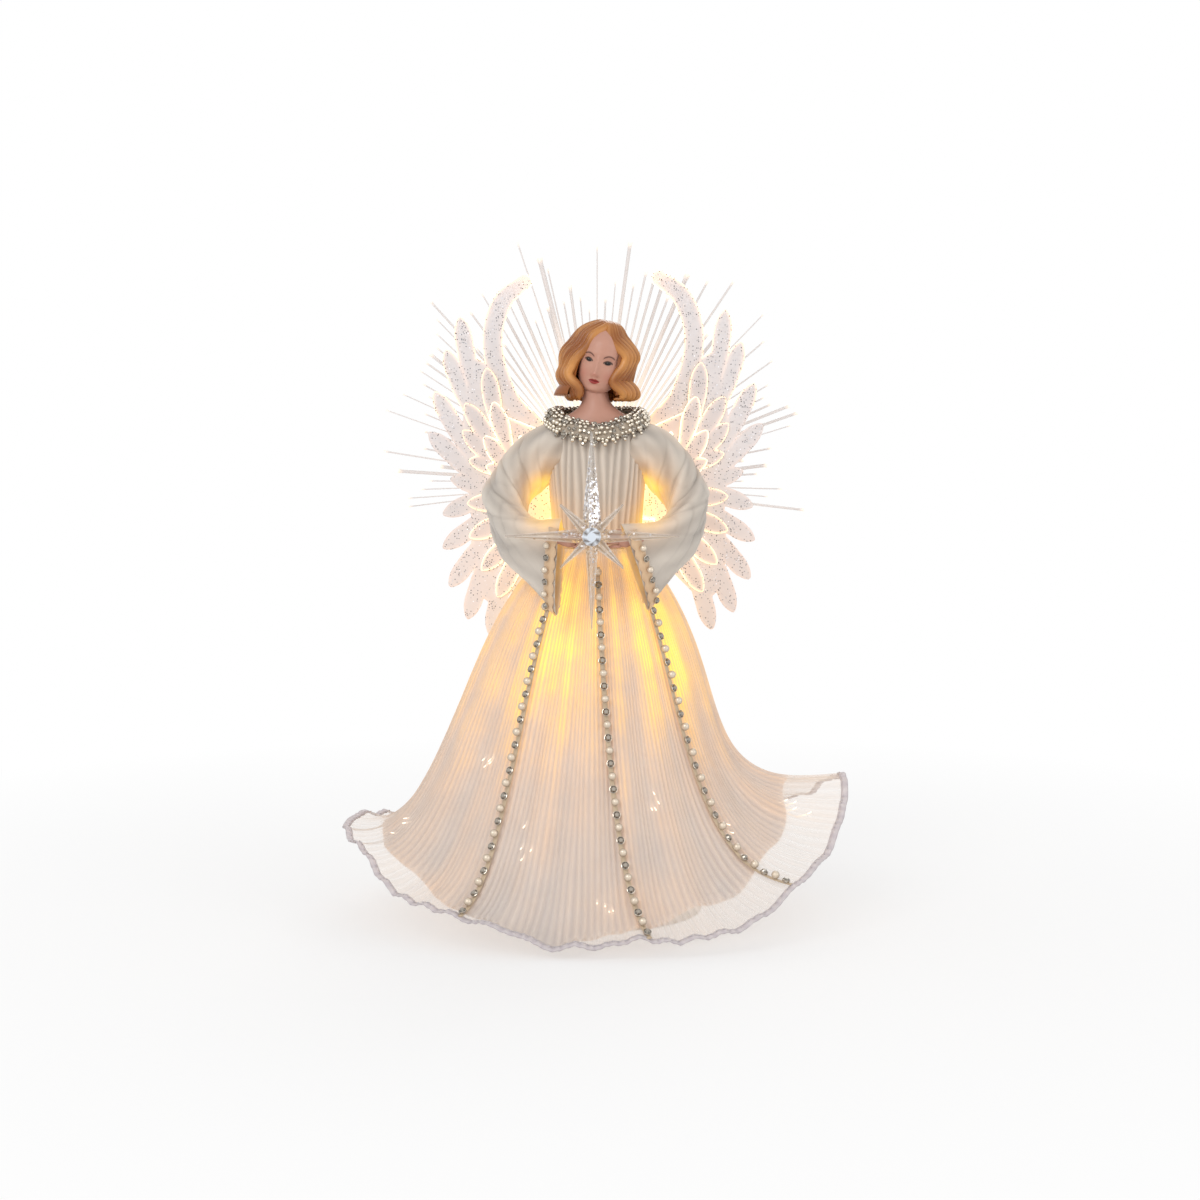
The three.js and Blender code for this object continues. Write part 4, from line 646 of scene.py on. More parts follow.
@dataclass
class Scatter:
    """One small form repeated at many places by a node tree."""

    name: str
    form: bpy.types.Object
    material: bpy.types.Material

    def tree(self) -> tuple[bpy.types.NodeTree, str]:
        """Builds the tree and returns it with the identifier of its size input."""
        tree = bpy.data.node_groups.new(self.name, "GeometryNodeTree")
        face = tree.interface
        face.new_socket("Geometry", in_out="INPUT", socket_type="NodeSocketGeometry")
        size = face.new_socket("Size", in_out="INPUT", socket_type="NodeSocketFloat")
        face.new_socket("Geometry", in_out="OUTPUT", socket_type="NodeSocketGeometry")
        nodes = Nodes(tree)

        def named(key: str, kind: str) -> Socket:
            """What the points hold under a name."""
            return nodes.node("GeometryNodeInputNamedAttribute", {"Name": key}, data_type=kind).outputs["Attribute"]

        start = nodes.node("NodeGroupInput")
        shape = nodes.node("GeometryNodeObjectInfo", {"Object": self.form}).outputs["Geometry"]
        ways = {i: named(key, "FLOAT_VECTOR") for i, key in enumerate(("out", "run"))}
        turn = nodes.node("FunctionNodeAxesToRotation", ways, primary_axis="Z", secondary_axis="X").outputs[0]
        scale = nodes.math("MULTIPLY", named("size", "FLOAT"), start.outputs["Size"])
        inputs = {"Points": start.outputs["Geometry"], "Instance": shape, "Rotation": turn, "Scale": scale}
        placed = nodes.node("GeometryNodeInstanceOnPoints", inputs).outputs[0]
        real = nodes.node("GeometryNodeRealizeInstances", {0: placed}).outputs[0]
        painted = nodes.node("GeometryNodeSetMaterial", {"Geometry": real, "Material": self.material}).outputs[0]
        nodes.node("NodeGroupOutput", {0: painted})
        return tree, size.identifier

    def make(self, places: np.ndarray, out: np.ndarray, run: np.ndarray, sizes: object = 1.0) -> bpy.types.Object:
        """Repeats the form.

        Args:
            places: where, in millimetres.
            out: which way the form's own Z points at each place.
            run: which way its own X points.
            sizes: one scale for each place, or one for all.
        Returns:
            The plain mesh object.
        """
        mesh = bpy.data.meshes.new(self.name + "_places")
        mesh.from_pydata((np.asarray(places, float) * MM).tolist(), [], [])
        write(mesh, "out", "FLOAT_VECTOR", out)
        write(mesh, "run", "FLOAT_VECTOR", run)
        write(mesh, "size", "FLOAT", np.broadcast_to(sizes, len(places)))
        points = show(self.name + "_places", mesh)
        modifier = points.modifiers.new("repeat", "NODES")
        modifier.node_group, identifier = self.tree()
        modifier[identifier] = 1.0
        bpy.context.view_layer.update()
        made = bpy.data.meshes.new_from_object(points.evaluated_get(bpy.context.evaluated_depsgraph_get()))
        points.modifiers.clear()
        bpy.data.objects.remove(points)
        for key in ("out", "run", "size"):
            if key in made.attributes:
                made.attributes.remove(made.attributes[key])
        made.name = self.name
        bpy.data.objects.remove(self.form)
        return show(self.name, made)


def bead_form(radius: float, rings: int = 8, sides: int = 12) -> bpy.types.Object:
    """A round bead with its foot at the origin."""
    tilts = np.linspace(0.08, math.pi - 0.08, rings)
    rows = np.stack([np.sin(tilts), np.cos(tilts) + 1], axis=-1) * radius
    return Form.capped(lathe(rows, sides), dark=0.0).make("bead_form", bpy.data.materials[0])


def stone_form(radius: float, sides: int = 10) -> bpy.types.Object:
    """A cut stone in a low cup with its foot at the origin."""
    rows = np.array([(0.7, 0.0), (0.95, 0.35), (0.97, 0.75), (0.84, 0.8), (0.8, 0.74), (0.5, 1.18)]) * radius
    # Painted shade for the facets: the top of the stone is marked dark, most in a ring round its middle, in wedges that
    # are darker and lighter in turn.
    deep = np.array([0, 0, 0, 0.2, 1, 0.55])[:, None] * (0.7 + 0.3 * np.cos(circle(sides) * 5))
    made = Form.capped(lathe(rows, sides), dark=deep).make("stone_form", bpy.data.materials[0])
    made.data.shade_flat()
    return made


def merged(name: str, pieces: Sequence[bpy.types.Object]) -> bpy.types.Object:
    """Joins pieces into the first one, which keeps all their finishes."""
    with bpy.context.temp_override(active_object=pieces[0], selected_editable_objects=list(pieces)):
        bpy.ops.object.join()
    pieces[0].name = pieces[0].data.name = name
    return pieces[0]


# The dress

DRESS_PROFILE = np.array([
    [0.597, 0.632, 0.269, 0.305, 0.975, 0.33],
    [0.537, 0.632, 0.36, 0.22, 0.88, 0.15],
    [0.463, 0.658, 0.463, 0.158, 0.82, 0.022],
    [0.493, 0.684, 0.463, 0.147, 0.88, 0.11],
    [0.56, 0.789, 0.582, 0.132, 0.995, 0.225],
    [0.463, 0.737, 0.567, 0.116, 0.9, 0.09],
    [0.373, 0.684, 0.537, 0.105, 0.82, 0.015],
    [0.433, 0.658, 0.433, 0.147, 0.925, 0.085],
])
LAMP_TURNS = np.array([-4.5, -1.5, 1.5, 5.5]) * TURN / 14
LAMP_HEIGHT = 150.0
LAMP_SPREAD = 0.36
GLOW_HEIGHTS = (0, 20, 45, 80, 115, 150, 178, 190)
GLOW_LEVELS = (0.06, 0.12, 0.22, 0.35, 0.5, 0.6, 0.6, 0.5)
FRONT_TURN = -1.86


@dataclass
class Skirt:
    """The overskirt with its lining, its hem tape and the lights that show through it."""

    waist_height: float = 190.0
    waist_radius: float = 22.6
    reach: float = 134.0
    wave_depth: float = 5.0
    wave_count: int = 9
    pleats: int = 180
    pleat_steps: int = 6
    rows: int = 66
    top_pleat: float = 0.3
    hem_pleat: float = 0.85
    pleat_drop: float = 0.35
    fold_depth: float = 1.1
    ruffle_depth: float = 1.0
    lining_gap: float = 1.75
    lining_share: float = 0.86
    hem_width: float = 3.5
    hem_wall: float = 0.3
    hem_round_share: float = 0.86
    stitch_pitch: float = 3.2
    stitch_half: float = 0.9
    lining_columns: int = 288
    lining_rows: int = 44

    def surface(self, turns: np.ndarray, shares: np.ndarray, offset: object = 0.0) -> np.ndarray:
        """Points of the dress.

        Args:
            turns: angles round from +X.
            shares: from 0 at the waist to 1 at the hem.
            offset: how far outside of the cloth, in millimetres.
        Returns:
            The points.
        """
        turns, shares = np.broadcast_arrays(np.asarray(turns, float), np.asarray(shares, float))
        rows = around(DRESS_PROFILE, turns * len(DRESS_PROFILE) / TURN)
        radii = [np.full_like(turns, self.waist_radius)] + [rows[..., i] * self.reach for i in (0, 2, 4)]
        heights = [np.full_like(turns, self.waist_height)] + [rows[..., i] * self.waist_height for i in (1, 3, 5)]
        left = 1 - shares
        weights = (left**3, 3 * left**2 * shares, 3 * left * shares**2, shares**3)
        slopes = (-(left**2), left**2 - 2 * left * shares, 2 * left * shares - shares**2, shares**2)
        run = sum(a * b for a, b in zip(radii, slopes))
        drop = sum(a * b for a, b in zip(heights, slopes))
        length = np.hypot(run, drop)
        waves = self.wave_depth * shares**3 * (0.5 + 0.5 * np.cos(self.wave_count * turns))
        out = offset + waves + self.drape(turns, shares)
        radius = sum(a * b for a, b in zip(radii, weights)) - drop / length * out
        height = sum(a * b for a, b in zip(heights, weights)) + run / length * out
        return np.stack([radius * np.cos(turns), radius * np.sin(turns), height], axis=-1)

    def drape(self, turns: np.ndarray, shares: np.ndarray) -> np.ndarray:
        """How far the loose folds and the ruffled hem lift the cloth and all that lies on it."""
        loose = np.interp(shares, [0, 0.25, 0.7, 1], [0, 0.5, 1, 1]) * (1 + self.loose(turns, shares))
        ruffle = smooth((shares - 0.78) / 0.22) * (1 + np.sin(43 * turns + 2.4 * np.sin(5 * turns)))
        return self.fold_depth * loose + self.ruffle_depth * ruffle

    def loose(self, turns: np.ndarray, shares: np.ndarray) -> np.ndarray:
        """Where a point lies across the loose folds, from -1 to 1."""
        return np.sin(19 * turns + 1.4 * np.sin(4 * turns) + 2.2 * shares)

    def phase(self, turns: np.ndarray, shares: np.ndarray) -> np.ndarray:
        """Where a point lies across its pleat, as an angle."""
        broad = 1.6 * np.sin(7 * turns + 3 * shares) + 1.1 * np.sin(23 * turns + 5 * shares)
        return self.pleats * turns + (broad + 0.5 * np.sin(41 * turns - 11 * shares))

    def pleat(self, turns: np.ndarray, shares: np.ndarray) -> np.ndarray:
        """How far the pleats lift the cloth."""
        pressed = 1 - 0.5 * smooth((shares - 0.88) / 0.12)
        depth = self.top_pleat + (self.hem_pleat - self.top_pleat) * shares * pressed
        uneven = 0.75 + 0.25 * np.sin(31 * turns + 3 * shares) + 0.2 * np.sin(57 * turns - 5 * shares)
        return depth * uneven * np.cos(self.phase(turns, shares)) * 0.5 - self.pleat_drop

    def glow(self, points: np.ndarray) -> np.ndarray:
        """How strongly the lamps inside light the cloth at each point."""
        turns, heights = np.arctan2(points[..., 1], points[..., 0]), points[..., 2]
        level = np.interp(heights, GLOW_HEIGHTS, GLOW_LEVELS)
        fine = 0.1 * np.sin(47 * turns + 3 * np.sin(6 * turns) - heights / 60)
        shade = 1 + 0.2 * self.loose(turns, 1 - heights / self.waist_height) + fine
        low = 0.16 * band(heights, 20, 16) * (0.5 + 0.5 * np.sin(5 * turns + 2))
        spots = sum(band((turns - lamp + math.pi) % TURN - math.pi, 0, LAMP_SPREAD) for lamp in LAMP_TURNS)
        streak = 0.5 + 0.5 * np.sin(29 * turns + 1.5 * np.sin(6 * turns)) * np.sin(17 * turns + 1.0)
        return np.clip(level * shade + low + spots * band(heights, LAMP_HEIGHT, 42) * (0.15 + 0.6 * streak), 0, 1)

    def hung(self, form: Form, turns: np.ndarray, shares: np.ndarray) -> Form:
        """A cloth of the skirt with its places on the flat cloth."""
        return form.laid(turns * self.reach / 2, shares * self.waist_height)

    def cloth(self) -> None:
        """The pleated sheer overskirt."""
        turns, shares = np.meshgrid(circle(self.pleats * self.pleat_steps), np.linspace(0, 1, self.rows))
        points = self.surface(turns, shares, self.pleat(turns, shares))
        # Painted shade: the hollows of the pleats take the organza's shade colour and a little less of the painted glow
        # than the ridges; below the lining's end the painted shade is lifted and the cloth is sheerer.
        fold = 0.5 + 0.5 * np.cos(self.phase(turns, shares))
        clear = 1.5 * smooth((shares - self.lining_end(turns) + 0.015) / 0.03)
        form = Form.sheet(points, fold=fold + clear, glow=self.glow(points) * (0.7 + 0.3 * fold))
        made = self.hung(form, turns, shares).make("skirt_overlay_cloth", ORGANZA.make(), outwards=False)
        dress(made, ["skirt_overlay"])

    def lining_end(self, turns: np.ndarray) -> np.ndarray:
        """The share at which the lining ends, which is lowest at the front."""
        front = (turns - FRONT_TURN + math.pi) % TURN - math.pi
        return self.lining_share + 0.115 * band(front, 0, 0.5) + 0.012 * np.sin(13 * turns)

    def lining(self) -> None:
        """The lining that ends short of the hem."""
        turns, shares = np.meshgrid(circle(self.lining_columns), np.linspace(0.01, 1, self.lining_rows))
        shares = shares * self.lining_end(turns)
        soft = 0.35 * np.cos(36 * turns + 1.5 * np.sin(5 * turns)) * shares
        points = self.surface(turns, shares, soft - self.lining_gap)
        # Painted shade: the hollows of the soft folds take the lining's shade colour.
        form = Form.sheet(points, fold=0.5 + soft, glow=self.glow(points))
        made = self.hung(form, turns, shares).make("skirt_lining_cloth", LINING.make(), outwards=False)
        dress(made, ["skirt_lining"])

    def hem(self) -> None:
        """The tape that is folded over the edge, with its row of stitches."""
        turns = circle(self.pleats * self.pleat_steps)
        edge = self.surface(turns, 1.0) - self.surface(turns, 0.98)
        step = self.hem_width / (np.linalg.norm(edge, axis=-1) / 0.02)
        rows = []
        for back, side in ((1.0, 1), (0.5, 1), (0.02, 1), (-0.05, 0), (0.02, -1), (0.5, -1), (1.0, -1)):
            shares = 1 - back * step
            rows.append(self.surface(turns, shares, self.pleat(turns, shares) + side * self.hem_wall))
        # Painted shade: the tape takes its shade colour in the hollows of the pleats.
        fold = 0.5 + 0.5 * np.cos(self.phase(turns, np.ones_like(turns)))
        form = Form.sheet(np.array(rows), hoop=True, fold=fold, glow=0.05)
        form.laid(*np.meshgrid(turns * self.reach, np.arange(float(len(rows)))))
        tape = form.make("hem_band_tape", HEM_TAPE.make())
        spots = circle(int(TURN * self.reach * self.hem_round_share / self.stitch_pitch))
        line = 1 - 0.75 * np.interp(spots, turns, step)
        lift = self.pleat(spots, line) + self.hem_wall
        places = self.surface(spots, line, lift)
        out = unit(self.surface(spots, line, lift + 1) - places)
        run = unit(self.surface(spots + 0.01, line, lift) - places)
        half = self.stitch_half
        line = np.array([[-half, 0, 0.1], [0.4 - half, 0, 0.22], [half - 0.4, 0, 0.22], [half, 0, 0.1]])
        thread = THREAD.make()
        bar = tube(line, np.array([0.1, 0.2, 0.2, 0.1]), 5).make("bar", thread)
        stitches = Scatter("hem_stitches", bar, thread).make(places, out, run)
        dress(merged("hem_band_tape", [tape, stitches]), ["hem_band"])

    def build(self) -> None:
        """Makes the whole skirt."""
        self.cloth()
        self.lining()
        self.hem()


@dataclass
class BeadTrim:
    """Pearls and cut stones in turn on a cream tape that lies on the cloth."""

    radius: float = 2.1
    pitch: float = 6.7
    tape_width: float = 1.2
    tape_wall: float = 0.45
    tape_crown: float = 0.15
    lift: float = 0.5

    def lay(self, name: str, node: str, points: np.ndarray, out: np.ndarray, scallop: float = 0.0, glow: object = 0.05,
            toward: object = (0.0, 0.0, 0.0), span: tuple[float, float] = (0, 1)) -> None:
        """Lays a string of beads.

        Args:
            name: the piece's name.
            node: the CAD node that it stands for.
            points: many points along the cloth.
            out: the way out of the cloth at each.
            scallop: how far the tape's edge swells under each bead.
            glow: how much light comes through the tape, one value or one for each point.
            toward: how far the tape lies aside of the beads, one step or one for each point.
            span: the shares of the string between which it has beads.
        """
        steps = np.linalg.norm(np.diff(points, axis=0), axis=1)
        far = np.concatenate([[0], np.cumsum(steps)])
        count = max(4, round(far[-1] / self.pitch / 2) * 2)
        pitch = far[-1] / count
        spots = (np.arange(count) + 0.5) * pitch
        spots = spots[(spots >= span[0] * far[-1]) & (spots <= span[1] * far[-1])]

        def at(values: np.ndarray, where: np.ndarray) -> np.ndarray:
            """Values at distances along the string."""
            own = np.broadcast_to(values, points.shape)
            return np.stack([np.interp(where, far, own[:, i]) for i in range(3)], axis=-1)

        run = unit(np.gradient(points, axis=0))
        places, normals, runs = at(points, spots), unit(at(out, spots)), unit(at(run, spots))
        seats = places + normals * (self.lift + self.tape_wall)
        beads = []
        for i, (kind, form, finish) in enumerate((("_pearls", bead_form, PEARL), ("_stones", stone_form, STONE))):
            seed = Scatter(name + kind, form(self.radius), finish.make())
            beads.append(seed.make(seats[i::2], normals[i::2], runs[i::2]))
        fine = np.linspace(0, far[-1], count * 8 + 1)
        line, rise, way = at(points, fine) + at(toward, fine), unit(at(out, fine)), unit(at(run, fine))
        across = np.cross(way, rise)
        half = self.tape_width * (1 + scallop * np.abs(np.cos(np.pi * fine / pitch)))
        low, high = self.lift, self.lift + self.tape_wall
        shine = np.interp(fine, far, np.broadcast_to(glow, len(points)))[:, None]
        corners = [(-1, low), (-1, high), (0, high + self.tape_crown), (1, high), (1, low)]
        rows = np.stack([line + across * (half * side)[:, None] + rise * up for side, up in corners], axis=1)
        tape = Form.capped(rows, fold=0.5, glow=shine).make(name, BACKING.make())
        dress(merged(name, [tape, *beads]), [node])


@dataclass
class SkirtTrims:
    """The three strips of beads down the front of the dress."""

    skirt: Skirt
    foot_share: float = 0.985
    steps: int = 400
    strips = (("left", 0.15, -128, -124), ("centre", 0.05, -90, -77), ("right", 0.05, -43, -40))

    def build(self) -> None:
        """Makes the strips."""
        for name, start, top_deg, foot_deg in self.strips:
            shares = np.linspace(start, self.foot_share, self.steps)
            turns = np.radians(top_deg + (foot_deg - top_deg) * shares)
            points = self.skirt.surface(turns, shares)
            out = self.skirt.surface(turns, shares, 1.0) - points
            BeadTrim().lay(f"trim_strip_{name}_beads", f"trim_strip_{name}", points, out)


# The bodice, sleeves and collar


@dataclass
class Bodice:
    """The pleated bodice and its beaded collar."""

    waist_height: float = 190.3
    waist_radius: float = 22.6
    half_width: float = 26.0
    half_depth: float = 15.5
    front_height: float = 245.0
    back_height: float = 258.0
    pleats: int = 40
    pleat_steps: int = 6
    pleat_depth: float = 1.3
    rows: int = 30
    turned_share: float = 0.12
    turned_slope: float = 24.0
    wide_share: float = 0.71
    deep_share: float = 0.83
    uv_height: float = 60.0
    glow_heights = (190, 203, 218, 250)
    glow_levels = (0.5, 0.28, 0.08, 0.0)
    collar_rows: tuple = (48, 52, 56, 60, 64)
    collar_inner: tuple = (19.6, 12.0, 262.6, 9.4)
    collar_outer: tuple = (26.4, 18.4, 258.4, 12.6)
    collar_bulge: float = 1.4
    collar_steps: int = 120
    collar_sink: float = 0.8
    metal_share: float = 0.62

    def rim(self, turns: np.ndarray) -> np.ndarray:
        """The height of the neckline at each angle."""
        slant = 0.5 - 0.5 * np.sin(turns)
        return self.back_height + (self.front_height - self.back_height) * slant**3

    def surface(self, turns: np.ndarray, shares: np.ndarray, offset: object = 0.0) -> np.ndarray:
        """Points of the bodice: shares run from the waist to the neckline."""
        wide = self.waist_radius + (self.half_width - self.waist_radius) * np.minimum(1, shares / self.wide_share)
        deep = self.waist_radius + (self.half_depth - self.waist_radius) * np.minimum(1, shares / self.deep_share)
        heights = self.waist_height + (self.rim(turns) - self.waist_height) * shares
        return np.stack([(wide + offset) * np.cos(turns), (deep + offset) * np.sin(turns), heights], axis=-1)

    def cloth(self) -> None:
        """The pleated cloth, turned in at the neckline."""
        heights = np.linspace(0, 1 + self.turned_share, self.rows)
        turns, rise = np.meshgrid(circle(self.pleats * self.pleat_steps), heights)
        shares = np.minimum(rise, 1)
        phase = self.pleats * turns + 1.5 * np.sin(5 * turns + 3 * shares) + 0.8 * np.sin(13 * turns - 4 * shares)
        inwards = -np.maximum(0, rise - 1) * self.turned_slope
        offset = self.pleat_depth * (0.5 * np.cos(phase) - 0.5) * (1 - 0.5 * shares) + inwards
        points = self.surface(turns, shares, offset)
        heights = points[..., 2]
        side = np.abs(np.cos(turns)) ** 4 * band(heights, 208, 22)
        glow = np.interp(heights, self.glow_heights, self.glow_levels) + 0.6 * side
        # Painted shade: the hollows of the pleats take the crepe's shade colour.
        form = Form.sheet(points, fold=0.5 + 0.5 * np.cos(phase), glow=np.clip(glow, 0, 1))
        form.laid(turns * self.half_width, shares * self.uv_height)
        made = form.make("bodice_cloth", CREPE.make(), outwards=False)
        dress(made, ["bodice"])

    def neckline(self, turns: np.ndarray, share: float) -> np.ndarray:
        """Points of the collar, from its inner edge at a share of 0 to its outer edge at 1."""
        front = np.clip(-np.sin(turns), 0, 1)
        dip = 1.16 - np.hypot(1 - np.abs(np.arcsin(front)) / (math.pi / 2), 0.16)
        inner, outer = (
            np.stack([wide * np.cos(turns), deep * np.sin(turns), height - drop * dip], axis=-1)
            for wide, deep, height, drop in (self.collar_inner, self.collar_outer)
        )
        bulge = np.stack([np.cos(turns), np.sin(turns), np.ones_like(turns)], axis=-1)
        return inner + (outer - inner) * share + bulge * self.collar_bulge * math.sin(share * math.pi)

    def collar(self) -> None:
        """Close rows of small bright beads round the neck, with a fringe at their lower edge."""
        random = np.random.default_rng(3)
        places = []
        for row, count in enumerate(self.collar_rows):
            turns = (np.arange(count) + 0.5 * (row % 2)) * TURN / count + 0.02 * random.standard_normal(count)
            places.append(self.neckline(turns, row / (len(self.collar_rows) - 1)))
        first = circle(30) + 0.01
        for turns, drop in ((np.concatenate([first, first + 0.07]), 1.71), (first + 0.035, 3.2)):
            places.append(self.neckline(turns, 1.0) * [1.01, 1.03, 1] - [0, 0, drop])
        spots = np.concatenate(places)
        spots = spots + 0.22 * random.standard_normal(spots.shape)
        scale = 0.85 + 0.35 * random.random(len(spots))
        out = unit(spots * [1.0, 1.6, 0.0] + [0, 0, 12.0] + 4 * random.standard_normal(spots.shape))
        run = unit(np.cross([0, 0, 1.0], out))
        seats = spots - out * self.collar_sink
        metal = random.random(len(spots)) < self.metal_share
        beads = []
        for kind, form, finish, own in (
            ("pearls", bead_form(1.05, 6, 10), COLLAR_METAL, metal), ("stones", stone_form(1.2), STONE, ~metal),
        ):
            seed = Scatter("collar_bead_" + kind, form, finish.make())
            beads.append(seed.make(seats[own], out[own], run[own], scale[own]))
        # The ribbon under the beads is their backing; its darker colour is painted shade in the gaps between the beads.
        edges = ((0, 0.6), (0.5, 0.7), (1, 0.6), (1, 1.2), (0.5, 1.4), (0, 1.2))
        rows = [self.neckline(circle(self.collar_steps), share) - [0, 0, low] for share, low in edges]
        ribbon = Form.sheet(np.array(rows), hoop=True, fold=0.4, glow=0.0).make("collar_ribbon", MESH.make())
        dress(merged("collar_beads_rows", [ribbon, *beads]), ["collar_beads"])

    def build(self) -> None:
        """Makes the bodice and the collar."""
        self.cloth()
        self.collar()


@dataclass
class Sleeve:
    """A bell sleeve with its beaded, scalloped cuff; side is 1 for the right one and -1 for the left one."""

    side: int
    cuff_tilt_deg: float
    elbow_peak: float
    shoulder_height: float = 243.0
    elbow_reach: float = 45.0
    cuff_reach: float = 18.6
    cuff_forward: float = 46.0
    mouth_forward: float = 54.5
    cuff_height: float = 183.0
    thickness: float = 30.0
    cuff_thickness: float = 4.4
    cuff_depth: float = 49.0
    tilt_first: int = 4
    fold_depth: float = 2.0
    flat_length: float = 110.0
    columns: int = 168
    rows: int = 90
    lamp_spot: tuple[float, float] = (26.0, 216.0)
    lamp_spread: float = 12.5
    cuff_span_deg: tuple[float, float] = (127.0, 413.0)
    cuff_columns: int = 363
    cuff_shares: tuple[float, float, float] = (0.955, 0.973, 0.99)
    backing_drop: float = 1.5
    bead_spans = {1: (0.1, 0.59), -1: (0.41, 0.9)}
    sections = (
        (0.36, -0.02, -0.02, 0.74, 0.85),
        (0.5, -0.03, 0.03, 0.92, 1.0),
        (0.69, -0.04, 0.125, 0.97, 1.0),
        (0.878, -0.02, 0.283, 0.97, 1.0),
        (1.033, 0.13, 0.5, 0.87, 0.8),
        (0.956, 0.45, 0.733, 1.0, 0.65),
        (0.744, 0.78, 0.87, 1.1, 0.55),
    )

    def rings(self, turns: np.ndarray) -> np.ndarray:
        """The sections of the sleeve, each a ring of points."""
        sections, start = np.array(self.sections), np.array([0, 0, self.shoulder_height])
        step = np.array([self.elbow_reach, -self.cuff_forward, self.cuff_height - self.shoulder_height])
        mouth = [self.cuff_reach, -self.mouth_forward, self.cuff_height]
        places = np.concatenate([start + sections[:, :3] * step, [mouth]])
        sizes = np.concatenate([self.thickness * sections[:, 3:], [[self.cuff_depth, self.cuff_thickness]]]) / 2
        made = []
        for i, (tall, wide) in enumerate(sizes):
            run = unit(places[min(i + 1, len(places) - 1)] - places[max(0, i - 1)])
            side = unit(np.cross(run, [0, 0, 1.0]))
            rise = unit(np.cross(side, run))
            late = max(0.0, (i - self.tilt_first) / (len(places) - 1 - self.tilt_first))
            tilt = math.radians(self.cuff_tilt_deg) * late
            height = tall * np.sin(turns)
            made.append(places[i] + np.outer(height * math.cos(tilt), rise) - np.outer(height * math.sin(tilt), run)
                        + np.outer(wide * np.cos(turns), side))
        return np.array(made)

    def surface(self, turns: np.ndarray, shares: np.ndarray, offset: object = 0.0) -> np.ndarray:
        """Points of the sleeve for a row of angles and a row of shares from the shoulder to the cuff."""
        points = along(self.rings(turns), shares)
        out = unit(np.cross(np.gradient(points, axis=0), np.roll(points, -1, axis=1) - np.roll(points, 1, axis=1)))
        return points + out * np.asarray(offset)[..., None]

    def folds(self, turns: np.ndarray, shares: np.ndarray) -> np.ndarray:
        """The soft folds, from -1 to 1, for a grid of angles and shares."""
        turn, share = np.meshgrid(turns, shares)
        drift = 0.7 * self.side
        slack = 0.5 * np.sin(4 * turn + 5.5 * share + 0.6 + drift) + 0.3 * np.sin(7 * turn - 9 * share)
        slack = slack + 0.25 * np.sin(11 * turn + 17 * share + drift)
        crease = band(np.sin(2.5 * turn + 14 * share + drift), 0, 0.22) * band(share, 0.52, 0.3)
        fine = band(np.sin(3 * turn - 26 * share + 2 * np.sin(2 * turn)), 0, 0.3) * band(share, 0.72, 0.22)
        return slack - 0.8 * crease - 0.5 * fine

    def cloth(self) -> None:
        """The sleeve's cloth."""
        turns, shares = circle(self.columns), np.linspace(0, 1, self.rows)
        folds = self.folds(turns, shares)
        taper = (0.75 * np.sin(shares * math.pi) + 0.25)[:, None]
        peak = np.outer(band(shares, 0.47, 0.1), np.clip(-np.cos(turns + 0.25), 0, 1) ** 6)
        flat = np.outer(band(shares, 0.27, 0.12), np.clip(np.cos(turns - 2.2), 0, 1) ** 2)
        offset = self.fold_depth * (folds * 0.6 - 0.5) * taper + self.elbow_peak * (peak - 0.5 * flat)
        points = self.surface(turns, shares, offset)
        beside, above = points[..., 0] - self.lamp_spot[0], points[..., 2] - self.lamp_spot[1]
        window = band(np.hypot(beside, 0.8 * above), 0, self.lamp_spread)
        back = np.clip((points[..., 1] + 8) / 22, 0, 1) * 0.5
        mouth = 0.55 * smooth((shares[:, None] - 0.86) / 0.1) * smooth(np.cos(turns) + 0.3)[None, :]
        # Painted shade: the hollows of the soft folds and creases take the crepe's shade colour.
        form = Form.sheet(points, fold=0.5 + 0.5 * folds, glow=np.clip(1.15 * window + back + mouth, 0, 1))
        form.laid(*np.meshgrid(turns * self.thickness / 2, shares * self.flat_length))
        name = SIDES[self.side] + "sleeve"
        made = form.on_side(self.side).make(name + "_cloth", CREPE.make(), outwards=False)
        dress(made, [name])

    def cuff(self) -> None:
        """The beads round the cuff on their scalloped backing, which the folded cloth hides at the top."""
        turns = np.radians(np.linspace(*self.cuff_span_deg, self.cuff_columns))
        shares = np.array(self.cuff_shares)
        rings, above = self.surface(turns, shares)[:, 1:-1], self.surface(turns, shares, 1.0)[1, 1:-1]
        turns, points = turns[1:-1], rings[1]
        out, toward = above - points, unit(rings[2] - rings[0]) * self.backing_drop
        glow = 0.3 + 0.35 * smooth(np.cos(turns) + 0.6)
        if self.side < 0:
            points, out, toward = (values[::-1] * [-1, 1, 1] for values in (points, out, toward))
            glow = glow[::-1]
        name = SIDES[self.side] + "cuff_trim"
        trim = BeadTrim(radius=1.8, pitch=5.6, lift=0.3, tape_width=2.2)
        trim.lay(name + "_beads", name, points, out, 0.5, glow, toward, self.bead_spans[self.side])

    def build(self) -> None:
        """Makes the sleeve and its cuff."""
        self.cloth()
        self.cuff()


# The doll


def blended(base: np.ndarray, colour: Colour, share: np.ndarray) -> np.ndarray:
    """Paints a colour over others by a share at each point."""
    return base + (np.array(colour) - base) * np.clip(share, 0, 1)[..., None]


def inked(depth: np.ndarray, width: float = 0.2) -> np.ndarray:
    """How fully a patch is painted at a depth inside its edge, which is soft over the width."""
    return smooth(depth / width + 0.5)


